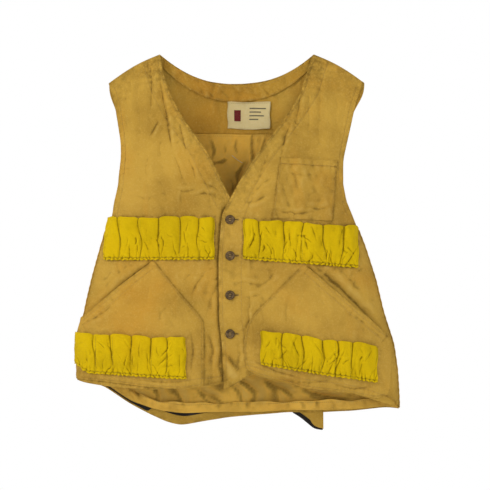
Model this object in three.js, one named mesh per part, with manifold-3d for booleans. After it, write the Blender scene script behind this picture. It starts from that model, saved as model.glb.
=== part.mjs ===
// A canvas game vest as it hangs from a clothes hanger, in millimetres.
// +X is the wearer's left, -Y the front, +Z up. The origin is where the hanger holds the
// vest: midway between the shoulders, at the height of the neck points.
// Each cloth piece is a thin bent sheet. The sheets lie in layers on two base surfaces,
// one for the front and one for the back, a small clearance apart.

import * as THREE from "three";
import Module from "manifold-3d";
import { mergeVertices } from "three/addons/utils/BufferGeometryUtils.js";

const wasm = await Module();
wasm.setup();

// Driving dimensions of the body.
const neckHalf = 118; // centre to neck point
const shoulderHalf = 196; // centre to shoulder tip
const shoulderDrop = 45; // neck point down to shoulder tip
const backNeckDrop = 41; // neck point down to the back neckline's lowest place
const armpitHalf = 196;
const armpitZ = -285;
const frontDepth = 48; // how far the front stands before the side seams
const backDepth = 50;
const hangerRadius = 9; // roundness of the shoulders over the hanger's arms
const fullDepthBelow = 250; // below the shoulder line the vest has its full depth here
const armholeEase = 12; // how much wider the base surface is than the armpits, higher up
const frontYokeZ = -150; // where the shoulder pieces end in front
const turningX = 165; // where the lines that the fronts turn about pass that seam
const turningGap = 6;
const backYokeZ = -118; // and behind

// The two fronts. Edge is where the front edge lies, hem gives heights at even steps.
const left = { sign: 1, hemHalf: 256, sideHemZ: -547, scoop: 27, edgeX: -21, edgeZ: -262 };
left.hem = [-506, -489, -500, -513, -530, -547]; // from front edge to side seam
const right = { sign: -1, hemHalf: 246, sideHemZ: -503, scoop: 19, edgeX: 12, edgeZ: -244 };
right.hem = [-508, -512, -508, -503];
const necklineBow = 13; // the neckline's curve away from a straight line

// The back. Heights at even steps from the right side seam to the left one.
const liningHem = [-505, -559, -571, -568, -562, -547];
const bagSag = 18; // the loose bottom of the game bag hangs this much lower
const bagSagX = -88;
const bagSagWidth = 46;
const bagTopZ = -300;
const bagRoom = 13; // how far the game bag bulges off the back
const bagSeam = 1.7; // and how far it already stands off at its seams

// Cloth and clearances.
const canvas = 1.2;
const tape = 0.9; // facings, hems and other single plies
const rubber = 0.6;
const clearance = 0.5;
const looseFit = 1; // for small pieces on the steep sides, and on bulging pockets
const seamAngle = (87 * Math.PI) / 180; // sheets end here, short of the side seams
const patchAngle = (80 * Math.PI) / 180; // what is sewn onto a front ends here
const plyAngle = (70 * Math.PI) / 180; // the game bag's ply ends here

// Front closure.
const bandWidth = 35; // the buttonhole band
const bandThickness = 2.2;
const underlap = 3; // how far the right front dips under the left one
const buttonX = -10;
const buttonZs = [-256, -311, -371, -430];
const button = { radius: 7.3, thickness: 3, rim: 1.1, holeRadius: 1.05, holeSpacing: 3.4 };
const threadRadius = 0.7;
const shankRadius = 0.8; // the thread wound between button and cloth
const shankHeight = 1.3; // a button's back stands this far off the front
const buttonholeLength = 17;
const buttonholeHeight = 2.3;

// Lower pockets: a patch with a peak, sewn on except along the slanting outer edge.
// Sizes are from the peak, inwards, outwards and down.
const pocket = { inner: 70, outer: 140, eaves: 95, depth: 180, room: 14, lip: 12 };
left.pocketTilt = (9 * Math.PI) / 180;
right.pocketTilt = 0;
const chestPocket = { x: 67, z: -168, width: 88, depth: 88, tilt: (5 * Math.PI) / 180, room: 9 };
const pocketHem = 11;

// Shell loops: a strip sewn down between the loops and along its bottom.
const loops = { count: 6, length: 172, height: 60, stand: 3.2, land: 0.12, foot: 14 };
left.upperLoops = { inner: 15.5, top: -258, tilt: (4 * Math.PI) / 180 };
right.upperLoops = { inner: 28.5, top: -255, tilt: 0 };
const lowerLoops = { inner: 47, outer: 128, top: 107, height: 56 };
// The pockets' peaks lie just below the upper loops.
left.pocketPeak = [104, left.upperLoops.top - loops.height - 7];
right.pocketPeak = [-117, right.upperLoops.top - loops.height - 2];

const facingWidth = 30;
const neckFacing = 23;
const hemWidth = 11;
const bindingWidth = 8;
const label = { x: 23, top: -61, width: 68, height: 45 };
const tail = { x: 118, width: 48, top: -566, length: 27 };

const { clamp, lerp } = THREE.MathUtils;
const part = new THREE.Group();

const cloth = (color) => new THREE.MeshStandardMaterial({ color, roughness: 0.95, metalness: 0 });
const materials = {
  canvas: cloth(0xb8923f),
  lining: cloth(0xb0873a),
  loops: cloth(0xd4bb1c),
  rubber: cloth(0x1d1a17),
  label: cloth(0xd8c998),
  thread: cloth(0x6b5a34),
  button: new THREE.MeshStandardMaterial({ color: 0x6a5638, roughness: 0.45, metalness: 0 }),
};

function smooth(t) {
  const c = clamp(t, 0, 1);
  return c * c * (3 - 2 * c);
}

// The height at fraction t of a row of evenly spaced heights, joined by a smooth curve.
function along(heights, t) {
  const curve = new THREE.SplineCurve(heights.map((z, i) => new THREE.Vector2(i, z)));
  return curve.getPoint(clamp(t, 0, 1)).y;
}

// The two base surfaces.

function shoulderZ(x) {
  return ((neckHalf - Math.abs(x)) * shoulderDrop) / (shoulderHalf - neckHalf);
}

function halfWidth(side, z) {
  const perMm = (side.hemHalf - armpitHalf) / (armpitZ - side.sideHemZ);
  if (z < armpitZ) return armpitHalf + (armpitZ - z) * perMm;
  return armpitHalf + armholeEase * smooth((z - armpitZ) / 120);
}

function armholeX(side, z) {
  const t = (z - armpitZ) / (-shoulderDrop - armpitZ);
  const bend = side.scoop * Math.sin(Math.PI * clamp(t, 0, 1));
  return lerp(armpitHalf, shoulderHalf, t) - bend;
}

// The outer limit of a front or of the back: armhole above the armpit, side seam below.
function outerX(side, z, angle = seamAngle) {
  const seam = halfWidth(side, z) * Math.sin(angle);
  return side.sign * (z > armpitZ ? Math.min(seam, armholeX(side, z)) : seam);
}

// How far the cloth stands from the plane of the shoulder seams: round over the hanger,
// then deeper down to the chest.
function standOut(depth, x, z) {
  const h = Math.max(0, shoulderZ(x) - z);
  const crown = 1 - Math.min(h / hangerRadius, 1);
  const round = hangerRadius * Math.sqrt(1 - crown * crown);
  return round + (depth - hangerRadius) * smooth(h / fullDepthBelow);
}

// The height at fraction v of a panel, whose fraction below lies exactly at the armpits.
function panelZ(bottom, top, v, below) {
  if (v < below) return lerp(bottom, armpitZ, v / below);
  return lerp(armpitZ, top, (v - below) / (1 - below));
}

// A point of the front (face -1) or back (face 1) base surface.
function onBody(face, x, z) {
  const width = halfWidth(x < 0 ? right : left, z);
  const share = clamp(Math.abs(x) / width, 0, 1);
  const depth = face < 0 ? frontDepth : backDepth;
  const y = face * standOut(depth, x, z) * Math.sqrt(1 - share * share);
  return new THREE.Vector3(x, y, z);
}

// x at fraction u between two edges, in even steps round the body instead of across it.
function across(x0, x1, z, u) {
  const turn = (x) => Math.asin(clamp(x / halfWidth(x < 0 ? right : left, z), -1, 1));
  const angle = lerp(turn(x0), turn(x1), u);
  return halfWidth(angle < 0 ? right : left, z) * Math.sin(angle);
}

// Sheets. A box of segments is bent so that its width follows u, its depth v, and its
// height the two faces at offsets low and high along the outward normal.

function bentBox(columns, rows, pointAt) {
  const made = new THREE.BoxGeometry(1, 1, 1, columns, 1, rows);
  const position = made.getAttribute("position");
  for (let i = 0; i < position.count; i++) {
    const p = pointAt(position.getX(i) + 0.5, position.getZ(i) + 0.5, position.getY(i) > 0);
    position.setXYZ(i, p.x, p.y, p.z);
  }
  made.computeVertexNormals();
  return made;
}

function outwardNormal(place, face, u, v) {
  const step = 1e-3;
  const [u0, u1] = [Math.max(0, u - step), Math.min(1, u + step)];
  const [v0, v1] = [Math.max(0, v - step), Math.min(1, v + step)];
  const alongU = place(u1, v).sub(place(u0, v));
  const alongV = place(u, v1).sub(place(u, v0));
  const normal = alongU.cross(alongV).normalize();
  return normal.multiplyScalar(normal.y * face < 0 ? -1 : 1);
}

// place(u, v) is a point of a base surface, with u from -X to +X and v upwards.
// offsets(u, v) gives the sheet's [inner, outer] faces from it.
function sheet(face, columns, rows, place, offsets) {
  return bentBox(columns, rows, (u, v, far) => {
    const [inner, outer] = offsets(u, v);
    const offset = far === face > 0 ? outer : inner;
    return place(u, v).addScaledVector(outwardNormal(place, face, u, v), offset);
  });
}

const layer = (inner, outer) => () => [inner, outer];

function add(name, geometry, material) {
  const mesh = new THREE.Mesh(geometry, material);
  mesh.name = name;
  part.add(mesh);
  return mesh;
}

function solid(geometry) {
  const bare = geometry.clone();
  bare.deleteAttribute("normal");
  bare.deleteAttribute("uv");
  const merged = mergeVertices(bare, 1e-4);
  const vertProperties = merged.getAttribute("position").array;
  const triVerts = new Uint32Array(merged.index.array);
  return new wasm.Manifold(new wasm.Mesh({ numProp: 3, vertProperties, triVerts }));
}

function geometryOf(manifold) {
  const { vertProperties, triVerts } = manifold.getMesh();
  const made = new THREE.BufferGeometry();
  made.setAttribute("position", new THREE.BufferAttribute(vertProperties, 3));
  made.setIndex(new THREE.BufferAttribute(triVerts, 1));
  made.computeVertexNormals();
  return made;
}

// Outlines of the fronts.

function necklineX(side, z) {
  const t = clamp((z - side.edgeZ) / -side.edgeZ, 0, 1);
  const bow = side.sign * necklineBow * Math.sin(Math.PI * t ** 1.6);
  return lerp(side.edgeX, side.sign * neckHalf, t) + bow;
}

function hemZ(side, x) {
  const end = side.sign * side.hemHalf;
  return along(side.hem, (x - side.edgeX) / (end - side.edgeX));
}

// How far a front dips inwards, so that the right one passes under the left one.
function dip(side, x) {
  if (side === left) return 0;
  return underlap * smooth((x - (left.edgeX - 76)) / 64);
}

// The line of h below the shoulder seam, from the seam (0) to the drop given (1), in even
// steps along the cloth as it rounds the hanger.
function dropAt(share, drop) {
  const quarter = (hangerRadius * Math.PI) / 2;
  const run = share * (drop - hangerRadius + quarter);
  if (run > quarter) return hangerRadius + run - quarter;
  return hangerRadius * (1 - Math.cos(run / hangerRadius));
}

const seamGap = canvas / 60; // sheets begin this share of their length away from a shoulder seam

function makeShoulders() {
  for (const side of [left, right]) {
    const place = (u, v) => {
      const outward = side.sign > 0 ? u : 1 - u;
      const top = side.sign * lerp(neckHalf, shoulderHalf, outward);
      const h = dropAt(lerp(1, seamGap, v), shoulderZ(top) - frontYokeZ);
      const z = shoulderZ(top) - h;
      const low = lerp(necklineX(side, z), outerX(side, z), outward);
      return onBody(-1, lerp(top, low, smooth(h / 25)), z);
    };
    const made = sheet(-1, 6, 12, place, layer(-canvas, 0));
    add(side === left ? "left_shoulder_piece" : "right_shoulder_piece", made, materials.canvas);
  }
}

// The top edge of the back: shoulder seams, with the neckline between them.
function backTopZ(x) {
  const share = Math.abs(x) / neckHalf;
  return share > 1 ? shoulderZ(x) : -backNeckDrop * (1 - share ** 2.2);
}

function makeYoke() {
  const place = (u, v) => {
    const top = lerp(-shoulderHalf, shoulderHalf, u);
    const low = across(outerX(right, backYokeZ), outerX(left, backYokeZ), backYokeZ, u);
    const drop = backTopZ(top) - backYokeZ;
    const h = dropAt(lerp(1, seamGap, v), drop);
    return onBody(1, lerp(top, low, h / drop), backTopZ(top) - h);
  };
  add("back_yoke", sheet(1, 20, 9, place, layer(-canvas, 0)), materials.canvas);
}

function makeNeckFacing() {
  const inset = 14; // short of the neck points
  const place = (u, v) => {
    const x = lerp(-neckHalf + inset, neckHalf - inset, u);
    const narrow = 1 - 0.45 * (Math.abs(x) / neckHalf) ** 2;
    return onBody(1, x, backTopZ(x) - 3 - neckFacing * narrow * (1 - v));
  };
  const inner = -canvas - looseFit - tape;
  add("neck_facing", sheet(1, 16, 2, place, layer(inner, inner + tape)), materials.lining);
  const labelPlace = (u, v) => {
    const x = label.x + lerp(-0.5, 0.5, u) * label.width;
    return onBody(1, x, label.top - (1 - v) * label.height);
  };
  const tag = inner - clearance - rubber;
  add("label", sheet(1, 4, 3, labelPlace, layer(tag, tag + rubber)), materials.label);
}

// The seam opens a little where the line that a front turns about crosses it.
function turningRoom(x) {
  return turningGap * Math.exp(-(((Math.abs(x) - turningX) / 14) ** 2));
}

function makeFronts() {
  for (const side of [left, right]) {
    const edge = (z) => (z < side.edgeZ ? side.edgeX : necklineX(side, z));
    const innerEdge = side === left ? (z) => Math.max(edge(z), left.edgeX + bandWidth) : edge;
    const place = (u, v) => {
      const outward = side.sign > 0 ? u : 1 - u;
      const bottom = hemZ(side, lerp(innerEdge(side.edgeZ), side.sign * side.hemHalf, outward));
      const seamX = lerp(innerEdge(frontYokeZ), outerX(side, frontYokeZ), outward);
      const z = panelZ(bottom, frontYokeZ - clearance - turningRoom(seamX), v, 1 / 2);
      const ends = [innerEdge(z), outerX(side, z)];
      if (side.sign < 0) ends.reverse();
      return onBody(-1, across(...ends, z, u), z);
    };
    const offsets = (u, v) => {
      const inwards = dip(side, place(u, v).x);
      return [-canvas - inwards, -inwards];
    };
    const name = side === left ? "left_front_panel" : "right_front_panel";
    add(name, sheet(-1, 12, 18, place, offsets), materials.canvas);
  }
}

// The strip with the buttonholes, from the point of the neckline to the hem.
function makeButtonholeBand() {
  const right0 = left.edgeX + bandWidth - clearance;
  const place = (u, v) => {
    const top = lerp(left.edgeZ, topOfBand(right0), u);
    const z = lerp(hemZ(left, lerp(left.edgeX, right0, u)), top, v);
    return onBody(-1, lerp(Math.min(left.edgeX, right0), right0, u), z);
  };
  let band = solid(sheet(-1, 4, 12, place, layer(-bandThickness, 0)));
  for (const z of buttonZs) {
    const slit = new THREE.BoxGeometry(buttonholeLength, 30, buttonholeHeight);
    slit.translate(buttonX + buttonholeLength / 2 - 4, -frontDepth, z);
    band = band.subtract(solid(slit));
  }
  add("buttonhole_band", geometryOf(band), materials.canvas);
}

// The height at which the left neckline passes x.
function topOfBand(x) {
  let z = left.edgeZ;
  while (necklineX(left, z) < x && z < 0) z += 1;
  return z;
}

// Facings behind the necklines, and the stand behind the buttons.
function makeFacings() {
  for (const side of [left, right]) {
    const prefix = side === left ? "left" : "right";
    const low = side === left ? topOfBand(left.edgeX + bandWidth) + 2 : side.edgeZ;
    addFacing(prefix + "_neck_facing", side, low, frontYokeZ - 2);
    addFacing(prefix + "_shoulder_facing", side, frontYokeZ + 2, -32);
  }
  const stand = (u, v) => {
    const x = right.edgeX - 1 - (1 - u) * facingWidth;
    return onBody(-1, x, lerp(hemZ(right, x) + 2 + hemWidth, right.edgeZ - 2, v));
  };
  const offsets = (u, v) => {
    const inner = -canvas - clearance - tape - dip(right, stand(u, v).x);
    return [inner, inner + tape];
  };
  add("button_stand", sheet(-1, 3, 12, stand, offsets), materials.lining);
}

function addFacing(name, side, low, high) {
  const wide = side.sign * facingWidth;
  const place = (u, v) => {
    const z = lerp(low, high, v);
    const near = necklineX(side, z) + side.sign * 1.5;
    return onBody(-1, lerp(near, near + wide, side.sign > 0 ? u : 1 - u), z);
  };
  const offsets = (u, v) => {
    const inner = -canvas - clearance - tape - dip(side, place(u, v).x);
    return [inner, inner + tape];
  };
  add(name, sheet(-1, 3, 6, place, offsets), materials.lining);
}

// Hems are turned up inside the fronts.
function makeFrontHems() {
  for (const side of [left, right]) {
    const near = side === left ? left.edgeX + bandWidth + 1 : right.edgeX - 1;
    const place = (u, v) => {
      const outward = side.sign > 0 ? u : 1 - u;
      const guess = lerp(near, side.sign * side.hemHalf, outward);
      const z = hemZ(side, guess) + 1 + v * hemWidth;
      const ends = [near, outerX(side, z, patchAngle)];
      if (side.sign < 0) ends.reverse();
      return onBody(-1, across(...ends, z, u), z);
    };
    const offsets = (u, v) => {
      const inner = -canvas - clearance - tape - dip(side, place(u, v).x);
      return [inner, inner + tape];
    };
    const name = side === left ? "left_front_hem" : "right_front_hem";
    add(name, sheet(-1, 12, 1, place, offsets), materials.canvas);
  }
}

// Tapes inside the armholes, behind the fronts, the shoulder pieces and the back.
function makeArmholeTapes() {
  const low = armpitZ + 36;
  for (const side of [left, right]) {
    const prefix = side === left ? "left" : "right";
    addTape(prefix + "_front_armhole_tape", side, -1, low, frontYokeZ - 2);
    addTape(prefix + "_shoulder_armhole_tape", side, -1, frontYokeZ + 2, -shoulderDrop - 26);
    addTape(prefix + "_back_armhole_tape", side, 1, low, backYokeZ - 4);
  }
}

function addTape(name, side, face, low, high) {
  const place = (u, v) => {
    const z = lerp(low, high, v);
    const edge = outerX(side, z) - side.sign * 1;
    const inwards = side.sign * bindingWidth * (side.sign < 0 ? u : 1 - u);
    return onBody(face, edge - inwards, z);
  };
  const offsets = (u, v) => {
    const p = place(u, v);
    const depth = face < 0 ? canvas + looseFit : liningDepth(p.x, p.z) + tape + looseFit;
    return [-depth - tape, -depth];
  };
  add(name, sheet(face, 2, 7, place, offsets), materials.lining);
}

// Lower pockets. p runs outwards and q upwards from the peak, tilted with the front.
function onPocket(side, p, q) {
  const [cos, sin] = [Math.cos(side.pocketTilt), Math.sin(side.pocketTilt)];
  const z = side.pocketPeak[1] - p * sin + q * cos;
  const x = side.pocketPeak[0] + side.sign * (p * cos + q * sin);
  const limit = halfWidth(side, z) * Math.sin(patchAngle);
  return [clamp(x, -limit, limit), z];
}

// How far out a pocket's side may reach at height q before it meets the side seam.
function pocketReach(side, q) {
  const [cos, sin] = [Math.cos(side.pocketTilt), Math.sin(side.pocketTilt)];
  let p = pocket.outer;
  for (let i = 0; i < 4; i++) {
    const z = side.pocketPeak[1] - p * sin + q * cos;
    const limit = halfWidth(side, z) * Math.sin(patchAngle);
    p = Math.min(pocket.outer, (limit - Math.abs(side.pocketPeak[0]) - q * sin) / cos);
  }
  return p;
}

// How far the patch stands off the front: most in the middle and at its mouth.
function pocketRoom(p, q) {
  const slant = pocket.inner / pocket.eaves;
  const toInner = Math.min(p + pocket.inner, (p - q * slant) / Math.hypot(1, slant));
  const fromSides = smooth(toInner / 60) * smooth((pocket.outer - p) / 60);
  return pocket.room * fromSides * smooth((q + pocket.depth) / 60);
}

function makePockets() {
  for (const side of [left, right]) {
    const share = (q) => clamp((q + 3) / -(pocket.eaves - 3), 0.05, 1);
    const at = (u, v) => {
      const q = lerp(-pocket.depth, -3, v);
      const outward = side.sign > 0 ? u : 1 - u;
      const reach = Math.min(pocket.outer * share(q), pocketReach(side, q));
      return [lerp(-pocket.inner * share(q), reach, outward), q];
    };
    const place = (u, v) => onBody(-1, ...onPocket(side, ...at(u, v)));
    const offsets = (u, v) => {
      const off = looseFit + pocketRoom(...at(u, v));
      return [off, off + tape];
    };
    const name = side === left ? "left" : "right";
    add(name + "_lower_pocket", sheet(-1, 14, 14, place, offsets), materials.canvas);
    makePocketLip(side, name);
  }
}

// The facing turned inside the slanting mouth of a pocket.
function makePocketLip(side, name) {
  const at = (u, v) => {
    const run = lerp(0.12, 0.8, side.sign > 0 ? u : 1 - u);
    const [p, q] = [pocket.outer * run, -pocket.eaves * run - 3];
    const inwards = 1.5 + (1 - v) * pocket.lip;
    return [p - inwards * 0.56, q - inwards * 0.83];
  };
  const place = (u, v) => onBody(-1, ...onPocket(side, ...at(u, v)));
  const offsets = (u, v) => {
    const off = pocketRoom(...at(u, v)) + looseFit - 1.5;
    return [off - tape, off];
  };
  add(name + "_pocket_lip", sheet(-1, 12, 1, place, offsets), materials.lining);
}

// The chest pocket on the left front, open along its top.
function onChest(p, q) {
  const [cos, sin] = [Math.cos(chestPocket.tilt), Math.sin(chestPocket.tilt)];
  return [chestPocket.x + p * cos + q * sin, chestPocket.z - p * sin + q * cos];
}

function chestRoom(p, q) {
  const fromSides = smooth(p / 24) * smooth((chestPocket.width - p) / 24);
  return chestPocket.room * fromSides * smooth((q + chestPocket.depth) / 24);
}

function makeChestPocket() {
  const at = (u, v) => [u * chestPocket.width, -(1 - v) * chestPocket.depth];
  const place = (u, v) => onBody(-1, ...onChest(...at(u, v)));
  const offsets = (u, v) => {
    const off = clearance + chestRoom(...at(u, v));
    return [off, off + tape];
  };
  add("chest_pocket", sheet(-1, 10, 9, place, offsets), materials.canvas);
  const inset = 7;
  const hemAt = (u, v) => [lerp(inset, chestPocket.width - inset, u), -1 - (1 - v) * pocketHem];
  const hemPlace = (u, v) => onBody(-1, ...onChest(...hemAt(u, v)));
  const hemOffsets = (u, v) => {
    const off = chestRoom(...hemAt(u, v)) + clearance + tape + clearance;
    return [off, off + tape];
  };
  add("chest_pocket_hem", sheet(-1, 8, 1, hemPlace, hemOffsets), materials.canvas);
}

// Shell loops. The strip touches down between the loops and closes along its foot.
function loopStand(t, q, height) {
  const inLoop = (t * loops.count) % 1;
  const open = clamp((Math.min(inLoop, 1 - inLoop) - loops.land) / 0.2, 0, 1);
  return loops.stand * Math.sin((open * Math.PI) / 2) * smooth((q + height) / loops.foot);
}

function addLoops(name, side, length, height, pointAt, baseAt) {
  const columns = loops.count * 6;
  const at = (u, v) => [side.sign > 0 ? u : 1 - u, -(1 - v) * height];
  const place = (u, v) => onBody(-1, ...pointAt(...at(u, v)));
  const offsets = (u, v) => {
    const [t, q] = at(u, v);
    const off = baseAt(t, q) + 0.8 * looseFit + loopStand(t, q, height);
    return [off, off + tape];
  };
  add(name, sheet(-1, columns, 4, place, offsets), materials.loops);
}

function makeUpperLoops() {
  for (const side of [left, right]) {
    const { inner, top, tilt } = side.upperLoops;
    const pointAt = (t, q) => {
      const z = top - t * loops.length * Math.sin(tilt) + q;
      const x = side.sign * (inner + t * loops.length * Math.cos(tilt));
      const limit = halfWidth(side, z) * Math.sin(patchAngle);
      return [clamp(x, -limit, limit), z];
    };
    const baseAt = (t, q) => {
      const [x, z] = pointAt(t, q);
      const [cos, sin] = [Math.cos(chestPocket.tilt), Math.sin(chestPocket.tilt)];
      const q1 = (x - chestPocket.x) * sin + (z - chestPocket.z) * cos;
      const under = side === left && q1 > -chestPocket.depth - 2;
      return under ? tape + clearance : 0;
    };
    const name = side === left ? "left_upper_shell_loops" : "right_upper_shell_loops";
    addLoops(name, side, loops.length, loops.height, pointAt, baseAt);
  }
}

function makeLowerLoops() {
  for (const side of [left, right]) {
    const reach = (q) => Math.min(lowerLoops.outer, pocketReach(side, q - lowerLoops.top) - 1);
    const pOf = (t, q) => lerp(-lowerLoops.inner, reach(q), t);
    const pointAt = (t, q) => onPocket(side, pOf(t, q), q - lowerLoops.top);
    const baseAt = (t, q) => looseFit + pocketRoom(pOf(t, q), q - lowerLoops.top) + tape;
    const length = lowerLoops.inner + lowerLoops.outer;
    const name = side === left ? "left_lower_shell_loops" : "right_lower_shell_loops";
    addLoops(name, side, length, lowerLoops.height, pointAt, baseAt);
  }
}

// The back: an inner back, the game bag outside it, and the bag's black waterproof ply.
function backX(u, z) {
  return across(outerX(right, z), outerX(left, z), z, u);
}

function bagHem(u) {
  const x = lerp(-right.hemHalf, left.hemHalf, u);
  return along(liningHem, u) - bagSag * Math.exp(-(((x - bagSagX) / bagSagWidth) ** 2));
}

function bagStandOff(x, z) {
  const seam = bagSeam * smooth((bagTopZ + 20 - z) / 30);
  const round = Math.asin(clamp(Math.abs(x) / halfWidth(x < 0 ? right : left, z), 0, 1));
  const fromSides = smooth((seamAngle - round) / 0.85);
  return seam + bagRoom * fromSides * smooth((bagTopZ - z) / 110);
}

// How far the inner back's outer face lies inside the base surface: deeper at the steep sides.
function liningDepth(x, z) {
  const share = Math.abs(x) / halfWidth(x < 0 ? right : left, z);
  return canvas + looseFit + 1.6 * smooth((share - 0.7) / 0.22);
}

function makeBack() {
  const top = backYokeZ - clearance;
  const lining = (u, v) => {
    const z = panelZ(along(liningHem, u), top, v, 11 / 18);
    return onBody(1, backX(u, z), z);
  };
  const liningOffsets = (u, v) => {
    const p = lining(u, v);
    return [-liningDepth(p.x, p.z) - tape, -liningDepth(p.x, p.z)];
  };
  add("inner_back", sheet(1, 18, 18, lining, liningOffsets), materials.lining);

  const bag = (u, v) => {
    const z = panelZ(bagHem(u), top, v, 11 / 18);
    return onBody(1, backX(u, z), z);
  };
  const bagOffsets = (u, v) => {
    const p = bag(u, v);
    const off = bagStandOff(p.x, p.z);
    return [off - canvas, off];
  };
  add("back_panel", sheet(1, 18, 18, bag, bagOffsets), materials.canvas);

  const ply = (u, v) => {
    const z = lerp(bagHem(u) + 3, bagTopZ - 40, v);
    const ends = [outerX(right, z, plyAngle), outerX(left, z, plyAngle)];
    return onBody(1, across(...ends, z, u), z);
  };
  const plyOffsets = (u, v) => {
    const p = ply(u, v);
    const off = bagStandOff(p.x, p.z) - canvas - looseFit;
    return [off - rubber, off];
  };
  add("game_bag_ply", sheet(1, 16, 12, ply, plyOffsets), materials.rubber);

  const hem = (u, v) => {
    const z = along(liningHem, u) + 1 + v * hemWidth;
    const ends = [outerX(right, z, patchAngle), outerX(left, z, patchAngle)];
    return onBody(1, across(...ends, z, u), z);
  };
  const hemOffsets = (u, v) => {
    const p = hem(u, v);
    const depth = liningDepth(p.x, p.z) + tape + looseFit;
    return [-depth - tape, -depth];
  };
  add("back_hem", sheet(1, 16, 1, hem, hemOffsets), materials.canvas);
}

// The loose corner of the game bag, which hangs and swings behind the hem.
function makeTail() {
  const off = bagStandOff(tail.x, tail.top) + clearance;
  const outer = (u, v) => {
    const drop = tail.length * lerp(0.35, 1, smooth(u * 1.6));
    return onBody(1, tail.x + lerp(-0.5, 0.5, u) * tail.width, tail.top - drop * (1 - v));
  };
  add("bag_corner", sheet(1, 5, 3, outer, layer(off, off + canvas)), materials.canvas);
  const inner = off - clearance - rubber;
  const ply = (u, v) => {
    const drop = (tail.length - 3) * lerp(0.35, 1, smooth(u * 1.6));
    const x = tail.x + lerp(-0.46, 0.46, u) * tail.width;
    return onBody(1, x, tail.top - 7 - (drop - 7) * (1 - v));
  };
  add("bag_corner_ply", sheet(1, 5, 2, ply, layer(inner, inner + rubber)), materials.rubber);
}

// Felled side seams, on the back's side of the seam lines.
function makeSideSeams() {
  for (const side of [left, right]) {
    const place = (u, v) => {
      const z = lerp(side.sideHemZ + 4, armpitZ - 4, v);
      const angle = lerp(86, 75, side.sign > 0 ? 1 - u : u) * (Math.PI / 180);
      return onBody(1, side.sign * halfWidth(side, z) * Math.sin(angle), z);
    };
    const offsets = (u, v) => {
      const p = place(u, v);
      const off = bagStandOff(p.x, p.z) + looseFit;
      return [off, off + tape];
    };
    const name = side === left ? "left_side_seam" : "right_side_seam";
    add(name, sheet(1, 3, 10, place, offsets), materials.canvas);
  }
}

// Buttons, each on a thread shank that goes through its buttonhole to the right front.
function makeButtons() {
  const { radius, thickness, rim, holeRadius, holeSpacing } = button;
  const dish = thickness - rim;
  const profile = [
    [0, 0],
    [radius - 0.8, 0],
    [radius, 0.8],
    [radius, thickness - 0.6],
    [radius - 0.8, thickness],
    [radius - 1.8, thickness - 0.2],
    [radius - 2.8, dish],
    [0, dish],
  ].map(([r, h]) => new THREE.Vector2(r, h));
  const base = -frontDepth - shankHeight;
  buttonZs.forEach((z, i) => {
    let disc = solid(new THREE.LatheGeometry(profile, 20));
    for (const s of [-1, 1]) {
      const hole = new THREE.CylinderGeometry(holeRadius, holeRadius, 4 * thickness, 8);
      disc = disc.subtract(solid(hole.translate((s * holeSpacing) / 2, 0, 0)));
    }
    const head = geometryOf(disc).rotateX(Math.PI).translate(buttonX, base, z);
    add(`button_${i + 1}`, head, materials.button);

    const bar = new THREE.BoxGeometry(holeSpacing + 2 * threadRadius, 0.9, 2 * threadRadius);
    let thread = solid(bar.translate(0, -dish - 0.3 - 0.45, 0));
    for (const s of [-1, 1]) {
      const leg = new THREE.CylinderGeometry(threadRadius, threadRadius, dish + 1.6, 6);
      thread = thread.add(solid(leg.translate((s * holeSpacing) / 2, -dish / 2 + 0.3, 0)));
    }
    const foot = new THREE.BoxGeometry(holeSpacing + 2 * threadRadius, 0.5, 2 * threadRadius);
    thread = thread.add(solid(foot.translate(0, 0.55, 0)));
    const reach = shankHeight + underlap - 0.35;
    const shank = new THREE.CylinderGeometry(shankRadius, shankRadius, reach - 0.5, 8);
    thread = thread.add(solid(shank.translate(0, (reach + 0.5) / 2, 0)));
    const moved = geometryOf(thread).translate(buttonX, base, z);
    add(`button_thread_${i + 1}`, moved, materials.thread);
  });
}

makeShoulders();
makeYoke();
makeNeckFacing();
makeFronts();
makeButtonholeBand();
makeFacings();
makeFrontHems();
makeArmholeTapes();
makePockets();
makeChestPocket();
makeUpperLoops();
makeLowerLoops();
makeBack();
makeTail();
makeSideSeams();
makeButtons();

export default part;
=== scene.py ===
import math
import random
import bpy
import numpy as np
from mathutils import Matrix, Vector
from mathutils.bvhtree import BVHTree


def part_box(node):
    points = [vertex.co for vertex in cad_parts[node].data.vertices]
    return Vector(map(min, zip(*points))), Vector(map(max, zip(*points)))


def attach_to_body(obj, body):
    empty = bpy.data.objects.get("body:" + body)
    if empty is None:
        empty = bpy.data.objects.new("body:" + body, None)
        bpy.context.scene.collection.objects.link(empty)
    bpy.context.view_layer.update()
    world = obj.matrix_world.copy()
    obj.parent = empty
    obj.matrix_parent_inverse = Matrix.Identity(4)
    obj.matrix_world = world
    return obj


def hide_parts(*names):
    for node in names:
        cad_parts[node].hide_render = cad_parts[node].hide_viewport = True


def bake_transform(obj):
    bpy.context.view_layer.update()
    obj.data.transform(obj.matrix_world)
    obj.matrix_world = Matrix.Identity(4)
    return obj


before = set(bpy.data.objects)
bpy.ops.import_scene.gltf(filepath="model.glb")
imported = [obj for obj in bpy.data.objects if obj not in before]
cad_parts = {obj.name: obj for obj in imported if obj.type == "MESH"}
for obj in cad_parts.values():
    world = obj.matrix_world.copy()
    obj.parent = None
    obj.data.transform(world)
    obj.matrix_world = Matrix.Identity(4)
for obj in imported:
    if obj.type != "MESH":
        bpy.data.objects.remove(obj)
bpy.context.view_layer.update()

# Everything is in metres. +X is the wearer's left, -Y the front, +Z up.

# ---------------------------------------------------------------- camera and light
def boxOf(*nodes):
    corners = [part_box(n) for n in nodes]
    low = [min(c[0][i] for c in corners) for i in range(3)]
    high = [max(c[1][i] for c in corners) for i in range(3)]
    return low, high

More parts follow.
